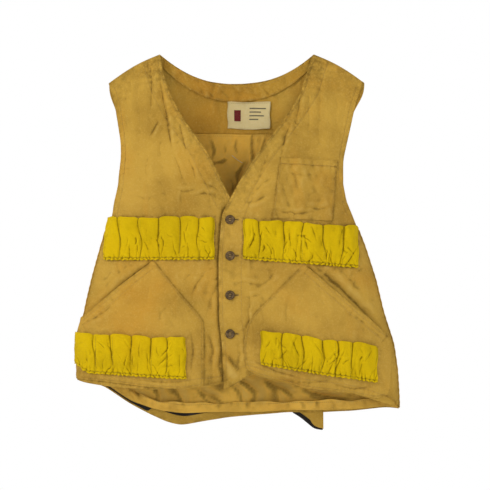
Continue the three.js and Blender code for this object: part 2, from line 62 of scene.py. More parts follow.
vestLow, vestHigh = boxOf("back_panel", "left_front_panel", "right_front_panel", "back_yoke")
view = {"distance": 3.2, "width": 0.7468, "aimX": 0.0127, "below": 0.294, "plane": -0.045}
cameraData = bpy.data.cameras.new("camera")
camera = bpy.data.objects.new("camera", cameraData)
bpy.context.scene.collection.objects.link(camera)
camera.location = (view["aimX"], -view["distance"], vestHigh[2] - view["below"])
camera.rotation_euler = (math.radians(90), 0, 0)
cameraData.lens = cameraData.sensor_width * (view["distance"] + view["plane"]) / view["width"]
cameraData.clip_end = 50
bpy.context.scene.camera = camera
bpy.context.scene.view_settings.view_transform = "Standard"

light = {"sky": 1.0, "skyTop": 0.55, "skyBottom": 0.55, "key": 27, "fill": 20, "behind": 22,
         "floorDrop": 0.36}

def areaLight(name, place, aim, size, power, colour=(1, 1, 1)):
    data = bpy.data.lights.new(name, "AREA")
    data.shape = "DISK"
    data.size = size
    data.energy = power
    data.color = colour
    lamp = bpy.data.objects.new(name, data)
    lamp.location = place
    lamp.rotation_euler = (Vector(aim) - Vector(place)).to_track_quat("-Z", "Y").to_euler()
    bpy.context.scene.collection.objects.link(lamp)

def makeStudio():
    world = bpy.data.worlds.new("studio")
    bpy.context.scene.world = world
    world.use_nodes = True
    nodes, links = world.node_tree.nodes, world.node_tree.links
    nodes.clear()
    out = nodes.new("ShaderNodeOutputWorld")
    back = nodes.new("ShaderNodeBackground")
    where = nodes.new("ShaderNodeTexCoord")
    split = nodes.new("ShaderNodeSeparateXYZ")
    ramp = nodes.new("ShaderNodeValToRGB")
    half = nodes.new("ShaderNodeMath")
    half.operation = "MULTIPLY_ADD"
    half.inputs[1].default_value = 0.5
    half.inputs[2].default_value = 0.5
    links.new(where.outputs["Generated"], split.inputs[0])
    links.new(split.outputs["Z"], half.inputs[0])
    links.new(half.outputs[0], ramp.inputs[0])
    stops = [(0.0, light["skyBottom"]), (0.34, light["skyBottom"]), (0.42, light["sky"]),
             (0.62, light["sky"]),
             (0.75, light["skyTop"])]
    ramp.color_ramp.elements.remove(ramp.color_ramp.elements[1])
    for i, (at, value) in enumerate(stops):
        stop = ramp.color_ramp.elements[0] if i == 0 else ramp.color_ramp.elements.new(at)
        stop.position = at
        stop.color = (value, value, value, 1)
    links.new(ramp.outputs[0], back.inputs[0])
    links.new(back.outputs[0], out.inputs[0])
    areaLight("key", (-1.9, -1.6, 0.9), (0, 0, -0.3), 0.8, light["key"], (1, 0.985, 0.96))
    areaLight("behind", (1.2, 2.6, 0.8), (0, 0, -0.3), 1.2, light["behind"])
    areaLight("fill", (0.7, -2.9, -0.2), (0, 0, -0.35), 1.4, light["fill"])
    floor = bpy.data.meshes.new("floor")
    ring = [(1.9 * math.cos(a), 1.9 * math.sin(a), 0) for a in np.linspace(0, 2 * math.pi, 96, False)]
    floor.from_pydata(ring, [], [list(range(96))])
    floorObject = bpy.data.objects.new("floor", floor)
    floorObject.location.z = vestLow[2] - light["floorDrop"]
    bpy.context.scene.collection.objects.link(floorObject)
    pale = bpy.data.materials.new("pale floor")
    pale.use_nodes = True
    pale.node_tree.nodes["Principled BSDF"].inputs["Base Color"].default_value = (0.85, 0.85, 0.85, 1)
    pale.node_tree.nodes["Principled BSDF"].inputs["Roughness"].default_value = 0.9
    floor.materials.append(pale)

makeStudio()
print("studio ready")

# ---------------------------------------------------------------- small maths
def smooth(t):
    t = np.clip(t, 0, 1)
    return t * t * (3 - 2 * t)

def bump(d, width):
    return np.exp(-(d / width) ** 2)

def table(points, blur=0.008):
    # A smooth curve through (place, value) pairs.
    at, value = np.array(sorted(points)).T
    step = 0.001
    fine = np.arange(at[0] - 0.06, at[-1] + 0.06, step)
    first = (value[1] - value[0]) / (at[1] - at[0])
    last = (value[-1] - value[-2]) / (at[-1] - at[-2])
    line = np.interp(fine, at, value)
    line = np.where(fine < at[0], value[0] + (fine - at[0]) * first, line)
    line = np.where(fine > at[-1], value[-1] + (fine - at[-1]) * last, line)
    if blur:
        reach = int(3 * blur / step)
        kernel = np.exp(-0.5 * (np.arange(-reach, reach + 1) * step / blur) ** 2)
        line = np.convolve(np.pad(line, reach, "edge"), kernel / kernel.sum(), "valid")
    return lambda x: np.interp(x, fine, line)

class Rumple:
    # Smooth random unevenness: a sum of waves of many directions around one wavelength.
    def __init__(self, seed, wavelength, stretch=(1, 1), waves=14):
        dice = random.Random(seed)
        self.waves = []
        for _ in range(waves):
            angle = dice.uniform(0, math.pi)
            k = 2 * math.pi / (wavelength * dice.uniform(0.6, 1.6))
            self.waves.append((k * math.cos(angle) / stretch[0], k * math.sin(angle) / stretch[1],
                               dice.uniform(0, 2 * math.pi), dice.uniform(0.5, 1)))
        self.scale = 1 / math.sqrt(sum(w[3] ** 2 for w in self.waves) / 2)

    def __call__(self, x, z):
        return self.scale * sum(a * np.sin(kx * x + kz * z + p) for kx, kz, p, a in self.waves)

def ridged(rumple, x, z):
    # Sharp valleys between rounded cushions.
    return np.clip(np.abs(rumple(x, z)), 0, 1.6) - 0.8

def nearLine(x, z, points):
    # Distance to a polyline, length along it, and the side (+ left of its run).
    best = np.full(np.shape(x), 9.0)
    along = np.zeros(np.shape(x))
    sideOf = np.zeros(np.shape(x))
    run = 0.0
    for (x0, z0), (x1, z1) in zip(points, points[1:]):
        dx, dz = x1 - x0, z1 - z0
        length = math.hypot(dx, dz) or 1e-9
        t = np.clip(((x - x0) * dx + (z - z0) * dz) / length ** 2, 0, 1)
        px, pz = x - x0 - t * dx, z - z0 - t * dz
        d = np.hypot(px, pz)
        closer = d < best
        best = np.where(closer, d, best)
        along = np.where(closer, run + t * length, along)
        sideOf = np.where(closer, np.sign(dx * pz - dz * px), sideOf)
        run += length
    return best, along, sideOf, run

def fold(x, z, points, depth, width, swell=0.7):
    # A crease along a line: a sharp valley with a soft ridge on its left.
    d, along, side, run = nearLine(x, z, points)
    signed = d * np.where(side == 0, 1, side)
    taper = np.sin(np.pi * np.clip(along / run, 0, 1)) ** 0.6
    valley = -np.exp(-np.abs(signed / width) ** 1.5)
    ridge = swell * bump(signed - 1.9 * width, 1.5 * width)
    return depth * taper * (valley + ridge)

def pucker(x, z, points, height, wave, reach, seed):
    # Ripples that run off a row of stitches, and the groove that the row itself makes.
    d, along = nearLine(x, z, points)[:2]
    wander = Rumple(seed, wave * 5)
    phase = 2 * np.pi * along / wave + 1.6 * wander(x, z) + 0.9 * np.sin(along * 173 + seed)
    strength = 0.55 + 0.45 * np.sin(along * 61 + seed * 2.1)
    groove = -0.8 * height * bump(d, 0.0013)
    return groove + height * strength * np.sin(phase) * np.exp(-d / reach) * (1 - 0.6 * bump(d, 0.002))

def blurred(values, times=2, reach=3):
    for _ in range(times):
        for axis in (0, 1):
            padded = np.pad(values, [(reach, reach) if a == axis else (0, 0) for a in (0, 1)], "edge")
            total = sum(np.take(padded, range(i, i + values.shape[axis]), axis)
                        for i in range(2 * reach + 1))
            values = total / (2 * reach + 1)
    return values

# ---------------------------------------------------------------- the vest's outline
outline = {
    # half width of the body at each height, below the armpits
    "rightSeam": [(-0.560, 0.247), (-0.500, 0.247), (-0.457, 0.247), (-0.430, 0.245), (-0.407, 0.237),
                  (-0.382, 0.232), (-0.344, 0.223), (-0.308, 0.213), (-0.280, 0.205), (-0.251, 0.196)],
    "leftSeam": [(-0.590, 0.252), (-0.547, 0.251), (-0.520, 0.250), (-0.487, 0.248), (-0.446, 0.242),
                 (-0.425, 0.235), (-0.397, 0.226), (-0.350, 0.215), (-0.297, 0.198), (-0.264, 0.185)],
    # armhole edges
    "rightHole": [(-0.270, 0.197), (-0.248, 0.191), (-0.208, 0.182), (-0.158, 0.179), (-0.132, 0.180),
                  (-0.076, 0.188), (-0.044, 0.198), (-0.02, 0.205)],
    "leftHole": [(-0.280, 0.190), (-0.264, 0.184), (-0.228, 0.170), (-0.198, 0.164), (-0.165, 0.164),
                 (-0.126, 0.172), (-0.074, 0.184), (-0.043, 0.195), (-0.02, 0.200)],
    # neckline and front edge
    "rightEdge": [(-0.60, 0.012), (-0.30, 0.012), (-0.262, 0.011), (-0.250, 0.006), (-0.238, -0.002),
                  (-0.216, -0.0135), (-0.195, -0.024), (-0.159, -0.041), (-0.126, -0.064),
                  (-0.099, -0.084), (-0.059, -0.104), (-0.023, -0.115), (0.0, -0.119)],
    "leftEdge": [(-0.60, -0.018), (-0.513, -0.019), (-0.446, -0.022), (-0.411, -0.026), (-0.358, -0.027),
                 (-0.311, -0.027), (-0.255, -0.023), (-0.240, -0.019), (-0.225, -0.010), (-0.202, 0.002),
                 (-0.169, 0.022), (-0.135, 0.048), (-0.099, 0.075), (-0.063, 0.098), (-0.020, 0.111),
                 (0.0, 0.119)],
    # hems, height by x
    "rightHem": [(-0.252, -0.501), (-0.203, -0.505), (-0.137, -0.512), (-0.082, -0.515), (-0.062, -0.511),
                 (-0.031, -0.509), (-0.012, -0.503), (0.015, -0.500)],
    "leftHem": [(-0.022, -0.517), (-0.016, -0.514), (-0.003, -0.502), (0.004, -0.493), (0.018, -0.489),
                (0.042, -0.498), (0.104, -0.512), (0.177, -0.522), (0.213, -0.533), (0.255, -0.547)],
    "backHem": [(-0.250, -0.501), (-0.205, -0.510), (-0.163, -0.538), (-0.120, -0.553), (-0.082, -0.558),
                (-0.020, -0.556), (0.045, -0.556), (0.088, -0.553), (0.135, -0.553), (0.187, -0.551),
                (0.232, -0.545), (0.255, -0.546)],
    "bagHem": [(-0.250, -0.502), (-0.205, -0.514), (-0.163, -0.543), (-0.132, -0.560), (-0.104, -0.573),
               (-0.082, -0.578), (-0.055, -0.573), (-0.010, -0.566), (0.045, -0.561), (0.088, -0.557),
               (0.135, -0.558), (0.187, -0.554), (0.232, -0.547), (0.255, -0.547)],
}
curves = {name: table(points, 0.004 if "Edge" in name else 0.006) for name, points in outline.items()}
shape = {"frontDepth": 0.048, "backDepth": 0.050, "hangerRadius": 0.009, "fullDepthBelow": 0.25,
         "neckHalf": 0.119, "tipHalf": 0.197, "shoulderDrop": 0.044, "shoulderBow": 0.0042,
         "armholeEase": 0.012,
         "backNeckDrop": 0.045, "yokeZ": -0.121, "bagTopZ": -0.300}
armpit = {"right": -0.256, "left": -0.270}

def shoulderZ(x):
    t = (np.abs(x) - shape["neckHalf"]) / (shape["tipHalf"] - shape["neckHalf"])
    return -shape["shoulderDrop"] * t + shape["shoulderBow"] * np.sin(np.pi * np.clip(t, 0, 1))

def halfWidth(x, z):
    right = np.where(z < armpit["right"], curves["rightSeam"](z), curves["rightSeam"](armpit["right"])
                     + shape["armholeEase"] * smooth((z - armpit["right"]) / 0.1))
    left = np.where(z < armpit["left"], curves["leftSeam"](z), curves["leftSeam"](armpit["left"])
                    + shape["armholeEase"] * smooth((z - armpit["left"]) / 0.1))
    return right + (left - right) * smooth((x + 0.02) / 0.04)

def outerX(side, z):
    seam = halfWidth(np.where(side > 0, 0.1, -0.1), z) * 0.9985
    hole = np.minimum(seam, curves["leftHole" if side > 0 else "rightHole"](z))
    below = smooth((armpit["left" if side > 0 else "right"] + 0.004 - z) / 0.014)
    return side * (hole + (seam - hole) * below)

def standOut(depth, x, z):
    h = np.maximum(0, shoulderZ(x) - z)
    crown = 1 - np.minimum(h / shape["hangerRadius"], 1)
    roundness = shape["hangerRadius"] * np.sqrt(1 - crown ** 2)
    return roundness + (depth - shape["hangerRadius"]) * smooth(h / shape["fullDepthBelow"])

def bodyY(face, x, z):
    share = np.clip(np.abs(x) / halfWidth(x, z), 0, 1)
    return face * standOut(shape["frontDepth" if face < 0 else "backDepth"], x, z) * np.sqrt(1 - share ** 2)

def across(x0, x1, z, u):
    turn0 = np.arcsin(np.clip(x0 / halfWidth(x0, z), -1, 1))
    turn1 = np.arcsin(np.clip(x1 / halfWidth(x1, z), -1, 1))
    angle = turn0 + (turn1 - turn0) * u
    return halfWidth(np.sin(angle), z) * np.sin(angle)

def bagStandOff(x, z):
    share = np.arcsin(np.clip(np.abs(x) / halfWidth(x, z), 0, 1))
    fromSides = smooth((math.radians(87) - share) / 0.85)
    return 0.0003 + 0.0135 * fromSides * smooth((shape["bagTopZ"] - z) / 0.11)

# ---------------------------------------------------------------- materials
def nodeMaker(tree):
    def make(kind, values=None, **props):
        node = tree.nodes.new(kind)
        for key, value in props.items():
            setattr(node, key, value)
        for key, value in (values or {}).items():
            node.inputs[key].default_value = value
        return node
    return make

def clothMaterial(name, v):
    made = bpy.data.materials.new(name)
    made.use_nodes = True
    tree = made.node_tree
    link = tree.links.new
    make = nodeMaker(tree)
    shader = tree.nodes["Principled BSDF"]
    rest = make("ShaderNodeAttribute", attribute_name="rest")
    creaseShadeAndRub = make("ShaderNodeAttribute", attribute_name="creaseShadeAndRub")
    wearAndShade = make("ShaderNodeAttribute", attribute_name="wearAndShade")
    base = tuple(v["colour"]) + (1,)

    def noise(scale, detail=3, rough=0.55, stretch=None):
        node = make("ShaderNodeTexNoise", {"Scale": scale, "Detail": detail, "Roughness": rough})
        if stretch:
            mapping = make("ShaderNodeMapping", {"Scale": stretch})
            link(rest.outputs["Vector"], mapping.inputs["Vector"])
            link(mapping.outputs[0], node.inputs["Vector"])
        else:
            link(rest.outputs["Vector"], node.inputs["Vector"])
        return node

    def ramp(source, low, high):
        node = make("ShaderNodeMapRange", {"From Min": low, "From Max": high}, clamp=True)
        link(source, node.inputs["Value"])
        return node.outputs[0]

    def mix(a, b, factor, kind="MIX"):
        node = make("ShaderNodeMix", data_type="RGBA", blend_type=kind)
        # the names of a mix node's sockets repeat, so its colour sockets are taken by place
        for place, value in ((6, a), (7, b), (0, factor)):
            target = node.inputs[place]
            if isinstance(value, bpy.types.NodeSocket):
                link(value, target)
            else:
                target.default_value = value
        return node.outputs[2]

    def times(a, b):
        node = make("ShaderNodeMath", operation="MULTIPLY")
        for i, value in enumerate((a, b)):
            if isinstance(value, bpy.types.NodeSocket):
                link(value, node.inputs[i])
            else:
                node.inputs[i].default_value = value
        return node.outputs[0]

    clouds = noise(v.get("cloudScale", 14), 4)
    warm = noise(v.get("warmScale", 9), 3)
    streaks = noise(26, 3, 0.5, (1, 1, 0.16))
    speck = noise(420, 2)
    grit = noise(120, 4, 0.6)
    colour = mix(base, tuple(v["dark"]) + (1,), times(ramp(clouds.outputs["Fac"], 0.42, 0.68), v["cloudy"]))
    colour = mix(colour, tuple(v["warm"]) + (1,), times(ramp(warm.outputs["Fac"], 0.50, 0.72), v["warmth"]))
    colour = mix(colour, tuple(v["warm"]) + (1,),
                 times(ramp(streaks.outputs["Fac"], 0.60, 0.78), v["streaky"]))
    # painted crease shade: darker where the relief sinks into a crease; lighter on ridges, partly rubbed
    # wear and partly painted highlight
    colour = mix(colour, tuple(c * 0.45 for c in v["dark"]) + (1,),
                 times(ramp(creaseShadeAndRub.outputs["Fac"], 0.0, 1.0), v["paintedCreaseShade"]))
    colour = mix(colour, tuple(v["pale"]) + (1,), times(ramp(creaseShadeAndRub.outputs["Fac"], 0.0, -1.0), v["ridgeRubAndHighlight"]))
    # darker along the wear-and-shade mask: real wear at edges and hems, and painted shade in gaps, around
    # strips, along pocket mouths and on the shoulders
    colour = mix(colour, tuple(c * 0.5 for c in v["dark"]) + (1,),
                 times(times(ramp(wearAndShade.outputs["Fac"], 0.0, 1.0), ramp(grit.outputs["Fac"], 0.36, 0.62)),
                       v["grimeAndShade"]))
    colour = mix(colour, tuple(v["pale"]) + (1,), times(ramp(speck.outputs["Fac"], 0.50, 0.75), 0.3))
    link(colour, shader.inputs["Base Color"])

    pitch = v.get("weave", 0.00075)
    place = make("ShaderNodeSeparateXYZ")
    link(rest.outputs["Vector"], place.inputs[0])

    def wave(axis):
        turns = make("ShaderNodeMath", {1: math.pi / pitch}, operation="MULTIPLY")
        link(place.outputs[axis], turns.inputs[0])
        sine = make("ShaderNodeMath", operation="SINE")
        link(turns.outputs[0], sine.inputs[0])
        return sine.outputs[0]

    weave = make("ShaderNodeMath", operation="MULTIPLY")
    link(wave("X"), weave.inputs[0])
    link(wave("Z"), weave.inputs[1])
    grain = noise(900, 2)
    height = make("ShaderNodeMath", operation="ADD")
    link(weave.outputs[0], height.inputs[0])
    link(times(grain.outputs["Fac"], 1.4), height.inputs[1])
    nub = noise(150, 4, 0.65)
    fine = make("ShaderNodeBump", {"Strength": 0.6, "Distance": 0.0004})
    link(height.outputs[0], fine.inputs["Height"])
    coarse = make("ShaderNodeBump", {"Strength": v.get("nubby", 0.5), "Distance": 0.0018})
    link(nub.outputs["Fac"], coarse.inputs["Height"])
    link(fine.outputs[0], coarse.inputs["Normal"])
    link(coarse.outputs[0], shader.inputs["Normal"])
    rough = make("ShaderNodeMapRange", {"To Min": v.get("rough", 0.86) - 0.08,
                                        "To Max": v.get("rough", 0.86) + 0.08})
    link(clouds.outputs["Fac"], rough.inputs["Value"])
    link(rough.outputs[0], shader.inputs["Roughness"])
    shader.inputs["Specular IOR Level"].default_value = v.get("specular", 0.08)
    shader.inputs["Sheen Weight"].default_value = v.get("sheen", 0.06)
    shader.inputs["Sheen Tint"].default_value = tuple(v["pale"]) + (1,)
    shader.inputs["Sheen Roughness"].default_value = 0.5
    return made

canvasFinish = {"colour": (0.505, 0.300, 0.046), "dark": (0.33, 0.185, 0.026), "warm": (0.52, 0.245, 0.024),
                "pale": (0.60, 0.40, 0.10), "cloudy": 0.75, "warmth": 0.55, "streaky": 0.5,
                "paintedCreaseShade": 0.9, "ridgeRubAndHighlight": 0.4, "grimeAndShade": 0.8, "nubby": 0.9}
liningFinish = dict(canvasFinish, colour=(0.46, 0.255, 0.032), warm=(0.52, 0.225, 0.02), warmth=0.5,
                    paintedCreaseShade=0.5)
# painted light: the inner canvas gets a lighter colour than the outer canvas to make up for the shade inside
# the vest
innerPaintedLightFinish = dict(liningFinish, colour=(0.74, 0.43, 0.066), dark=(0.42, 0.24, 0.038),
                   warm=(0.70, 0.36, 0.045),
                   cloudy=0.75, warmth=0.45, paintedCreaseShade=0.75, ridgeRubAndHighlight=0.4, cloudScale=22)
loopFinish = {"colour": (0.63, 0.42, 0.002), "dark": (0.40, 0.26, 0.003), "warm": (0.60, 0.33, 0.002),
              "pale": (0.70, 0.52, 0.004), "cloudy": 0.5, "warmth": 0.3, "streaky": 0.15,
              "paintedCreaseShade": 0.95, "ridgeRubAndHighlight": 0.3, "grimeAndShade": 0.6, "nubby": 0.3, "weave": 0.0006}
rubberFinish = {"colour": (0.02, 0.017, 0.014), "dark": (0.01, 0.009, 0.008), "warm": (0.03, 0.02, 0.012),
                "pale": (0.05, 0.045, 0.04), "cloudy": 0.5, "warmth": 0.3, "streaky": 0.2,
                "paintedCreaseShade": 0.5, "ridgeRubAndHighlight": 0.5, "grimeAndShade": 0.2, "rough": 0.6}
labelFinish = {"colour": (0.74, 0.61, 0.30), "dark": (0.55, 0.42, 0.19), "warm": (0.70, 0.54, 0.22),
               "pale": (0.72, 0.64, 0.42), "cloudy": 0.5, "warmth": 0.3, "streaky": 0.1,
               "paintedCreaseShade": 0.6, "ridgeRubAndHighlight": 0.2, "grimeAndShade": 0.5, "weave": 0.0004, "nubby": 0.2}
threadFinish = {"colour": (0.40, 0.25, 0.07), "dark": (0.26, 0.15, 0.035), "warm": (0.42, 0.22, 0.04),
                "pale": (0.5, 0.36, 0.14), "cloudy": 0.5, "warmth": 0.3, "streaky": 0.1,
                "paintedCreaseShade": 0.3, "ridgeRubAndHighlight": 0.1, "grimeAndShade": 0.2, "weave": 0.0003, "nubby": 0.1}
mats = {"canvas": clothMaterial("worn canvas", canvasFinish),
        "lining": clothMaterial("inner canvas", liningFinish),
        "loops": clothMaterial("yellow loop cloth", loopFinish),
        "inner": clothMaterial("inner canvas painted lighter", innerPaintedLightFinish),
        "rubber": clothMaterial("rubberised ply", rubberFinish),
        "label": clothMaterial("woven label", labelFinish),
        "thread": clothMaterial("sewing thread", threadFinish),
        "loopThread": clothMaterial("loop thread", dict(threadFinish, colour=(0.36, 0.27, 0.02))),
        "maroon": clothMaterial("maroon weave",
                                dict(labelFinish, colour=(0.16, 0.02, 0.02), dark=(0.1, 0.015, 0.015),
                                                     warm=(0.2, 0.03, 0.02), pale=(0.3, 0.1, 0.08))),
        "grey": clothMaterial("grey weave", dict(labelFinish, colour=(0.13, 0.12, 0.08),
                                                 dark=(0.1, 0.09, 0.06),
                                                 warm=(0.16, 0.12, 0.08), pale=(0.3, 0.28, 0.2))),
        "white": clothMaterial("white thread",
                               dict(threadFinish, colour=(0.7, 0.62, 0.42), dark=(0.5, 0.42, 0.28),
                                                    warm=(0.7, 0.55, 0.3), pale=(0.8, 0.75, 0.6)))}

def buttonMaterial():
    made = bpy.data.materials.new("horn button")
    made.use_nodes = True
    tree = made.node_tree
    make = nodeMaker(tree)
    shader = tree.nodes["Principled BSDF"]
    where = make("ShaderNodeTexCoord")
    cloud = make("ShaderNodeTexNoise", {"Scale": 260.0, "Detail": 4.0})
    tree.links.new(where.outputs["Object"], cloud.inputs["Vector"])
    mixer = make("ShaderNodeValToRGB")
    mixer.color_ramp.elements[0].color = (0.040, 0.022, 0.007, 1)
    mixer.color_ramp.elements[0].position = 0.35
    mixer.color_ramp.elements[1].color = (0.135, 0.080, 0.026, 1)
    mixer.color_ramp.elements[1].position = 0.68
    tree.links.new(cloud.outputs["Fac"], mixer.inputs[0])
    tree.links.new(mixer.outputs[0], shader.inputs["Base Color"])
    dents = make("ShaderNodeBump", {"Strength": 0.25, "Distance": 0.0003})
    tree.links.new(cloud.outputs["Fac"], dents.inputs["Height"])
    tree.links.new(dents.outputs[0], shader.inputs["Normal"])
    shader.inputs["Roughness"].default_value = 0.45
    shader.inputs["Specular IOR Level"].default_value = 0.22
    return made

mats["button"] = buttonMaterial()
print("materials ready")

def attach(piece, body, crosses=False):
    if crosses:
        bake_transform(piece)
    else:
        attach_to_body(piece, body)

def meshObject(name, vertices, faces, material, rest=None, creaseShadeAndRub=None, wearAndShade=None, flat=False):
    vertices = np.asarray(vertices, float)
    mesh = bpy.data.meshes.new(name)
    mesh.from_pydata(vertices.tolist(), [], faces)
    mesh.polygons.foreach_set("use_smooth", [not flat] * len(mesh.polygons))
    layer = mesh.attributes.new("rest", "FLOAT_VECTOR", "POINT")
    layer.data.foreach_set("vector", np.asarray(vertices if rest is None else rest, float).ravel())
    for key, values in (("creaseShadeAndRub", creaseShadeAndRub), ("wearAndShade", wearAndShade)):
        layer = mesh.attributes.new(key, "FLOAT", "POINT")
        layer.data.foreach_set("value", np.zeros(len(vertices)) if values is None
                               else np.asarray(values, float))
    mesh.materials.append(mats[material])
    mesh.update()
    piece = bpy.data.objects.new(name, mesh)
    bpy.context.scene.collection.objects.link(piece)
    return piece

def gridNormals(p, face):
    n = np.cross(np.gradient(p, axis=1), np.gradient(p, axis=0))
    n /= np.linalg.norm(n, axis=2, keepdims=True) + 1e-12
    return n * np.where((n[..., 1:2] * face).sum() < 0, -1, 1)

def gridArea(p):
    a, b, c, d = p[:-1, :-1], p[:-1, 1:], p[1:, 1:], p[1:, :-1]
    return 0.5 * (np.linalg.norm(np.cross(b - a, c - a), axis=2)
                  + np.linalg.norm(np.cross(c - a, d - a), axis=2)).sum()

def clothPiece(name, p, thickness, material, face=-1, relief=None, wearAndShade=None, creaseScale=0.0012):
    # A closed thin sheet with a rounded rim, around the middle surface p (rows, columns, xyz).
    rows, cols = p.shape[:2]
    n = gridNormals(p, face)
    ring = ([(0, c) for c in range(cols)] + [(r, cols - 1) for r in range(1, rows)]
            + [(rows - 1, c) for c in range(cols - 2, -1, -1)] + [(r, 0) for r in range(rows - 2, 0, -1)])
    rr, cc = np.array(ring).T
    inr, inc = np.clip(rr, 1, rows - 2), np.clip(cc, 1, cols - 2)
    away = p[rr, cc] - p[inr, inc]
    away /= np.linalg.norm(away, axis=1, keepdims=True) + 1e-12
    rim = p[rr, cc] + away * thickness * 0.45
    vertices = np.concatenate([(p + n * thickness / 2).reshape(-1, 3),
                               (p - n * thickness / 2).reshape(-1, 3), rim])
    count = rows * cols
    index = np.arange(count).reshape(rows, cols)
    quads = np.stack([index[:-1, :-1], index[:-1, 1:], index[1:, 1:], index[1:, :-1]], -1).reshape(-1, 4)
    loop = index[rr, cc]
    nxt, mid = np.roll(loop, -1), 2 * count + np.arange(len(loop))
    midNext = np.roll(mid, -1)
    faces = np.concatenate([quads, quads[:, ::-1] + count, np.stack([nxt, loop, mid, midNext], -1),
                            np.stack([midNext, mid, loop + count, nxt + count], -1)])
    a, b, c = vertices[faces[:, 0]], vertices[faces[:, 1]], vertices[faces[:, 2]]
    if np.einsum("ij,ij->i", a, np.cross(b, c)).sum() < 0:
        faces = faces[:, ::-1]
    flatRest = p.reshape(-1, 3)
    rest = np.concatenate([flatRest, flatRest, p[rr, cc]])
    creaseShadeAndRub = None
    # painted crease shading: a value that darkens the colour in valleys of the relief and lightens it on
    # ridges
    if relief is not None:
        valley = (blurred(relief) - relief) / creaseScale
        valley = np.sign(valley) * np.clip(np.abs(valley) * 1.25 - 0.2, 0, 1)
        creaseShadeAndRub = np.concatenate([valley.ravel(), -valley.ravel(), valley[rr, cc]])
    if wearAndShade is not None:
        wearAndShade = np.concatenate([wearAndShade.ravel(), wearAndShade.ravel(), wearAndShade[rr, cc]])
    return meshObject(name, vertices, faces.tolist(), material, rest, creaseShadeAndRub, wearAndShade)

def declareSheet(piece, p, width, held="hung", **more):
    area, width = gridArea(p), max(width, 0.0115)

def grid(rows, cols):
    v, u = np.meshgrid(np.linspace(0, 1, rows), np.linspace(0, 1, cols), indexing="ij")
    return u, v

def raised(x, y, z, face, offset):
    # A surface moved along its own normals.
    p = np.stack([x, y, z], -1)
    return p + gridNormals(p, face) * np.broadcast_to(offset, x.shape)[..., None]

thick = {"canvas": 0.0012, "tape": 0.0009, "rubber": 0.0006}
buttonSpots = []
for i in range(1, 5):
    low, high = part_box(f"button_{i}")
    buttonSpots.append(tuple((low[k] + high[k]) / 2 for k in range(3)))

# Seam lines that several pieces share, as (x, z) points.
def edgeLine(curve, z0, z1, inset, count=30):
    return [(float(curves[curve](z)) + inset, z) for z in np.linspace(z0, z1, count)]

def holeLine(side, z0, z1, inset, count=24):
    return [(float(outerX(side, z)) - side * inset, z) for z in np.linspace(z0, z1, count)]

def hemLine(curve, x0, x1, inset, count=30):
    return [(x, float(curves[curve](x)) + inset) for x in np.linspace(x0, x1, count)]

# ---------------------------------------------------------------- relief of the fronts
soft = {"big": Rumple(3, 0.13, (1, 1.6)), "mid": Rumple(8, 0.045, (0.8, 2.2)),
        "small": Rumple(21, 0.018, (0.8, 1.7)),
        "fine": Rumple(34, 0.009), "cross": Rumple(55, 0.03, (2.4, 0.8))}

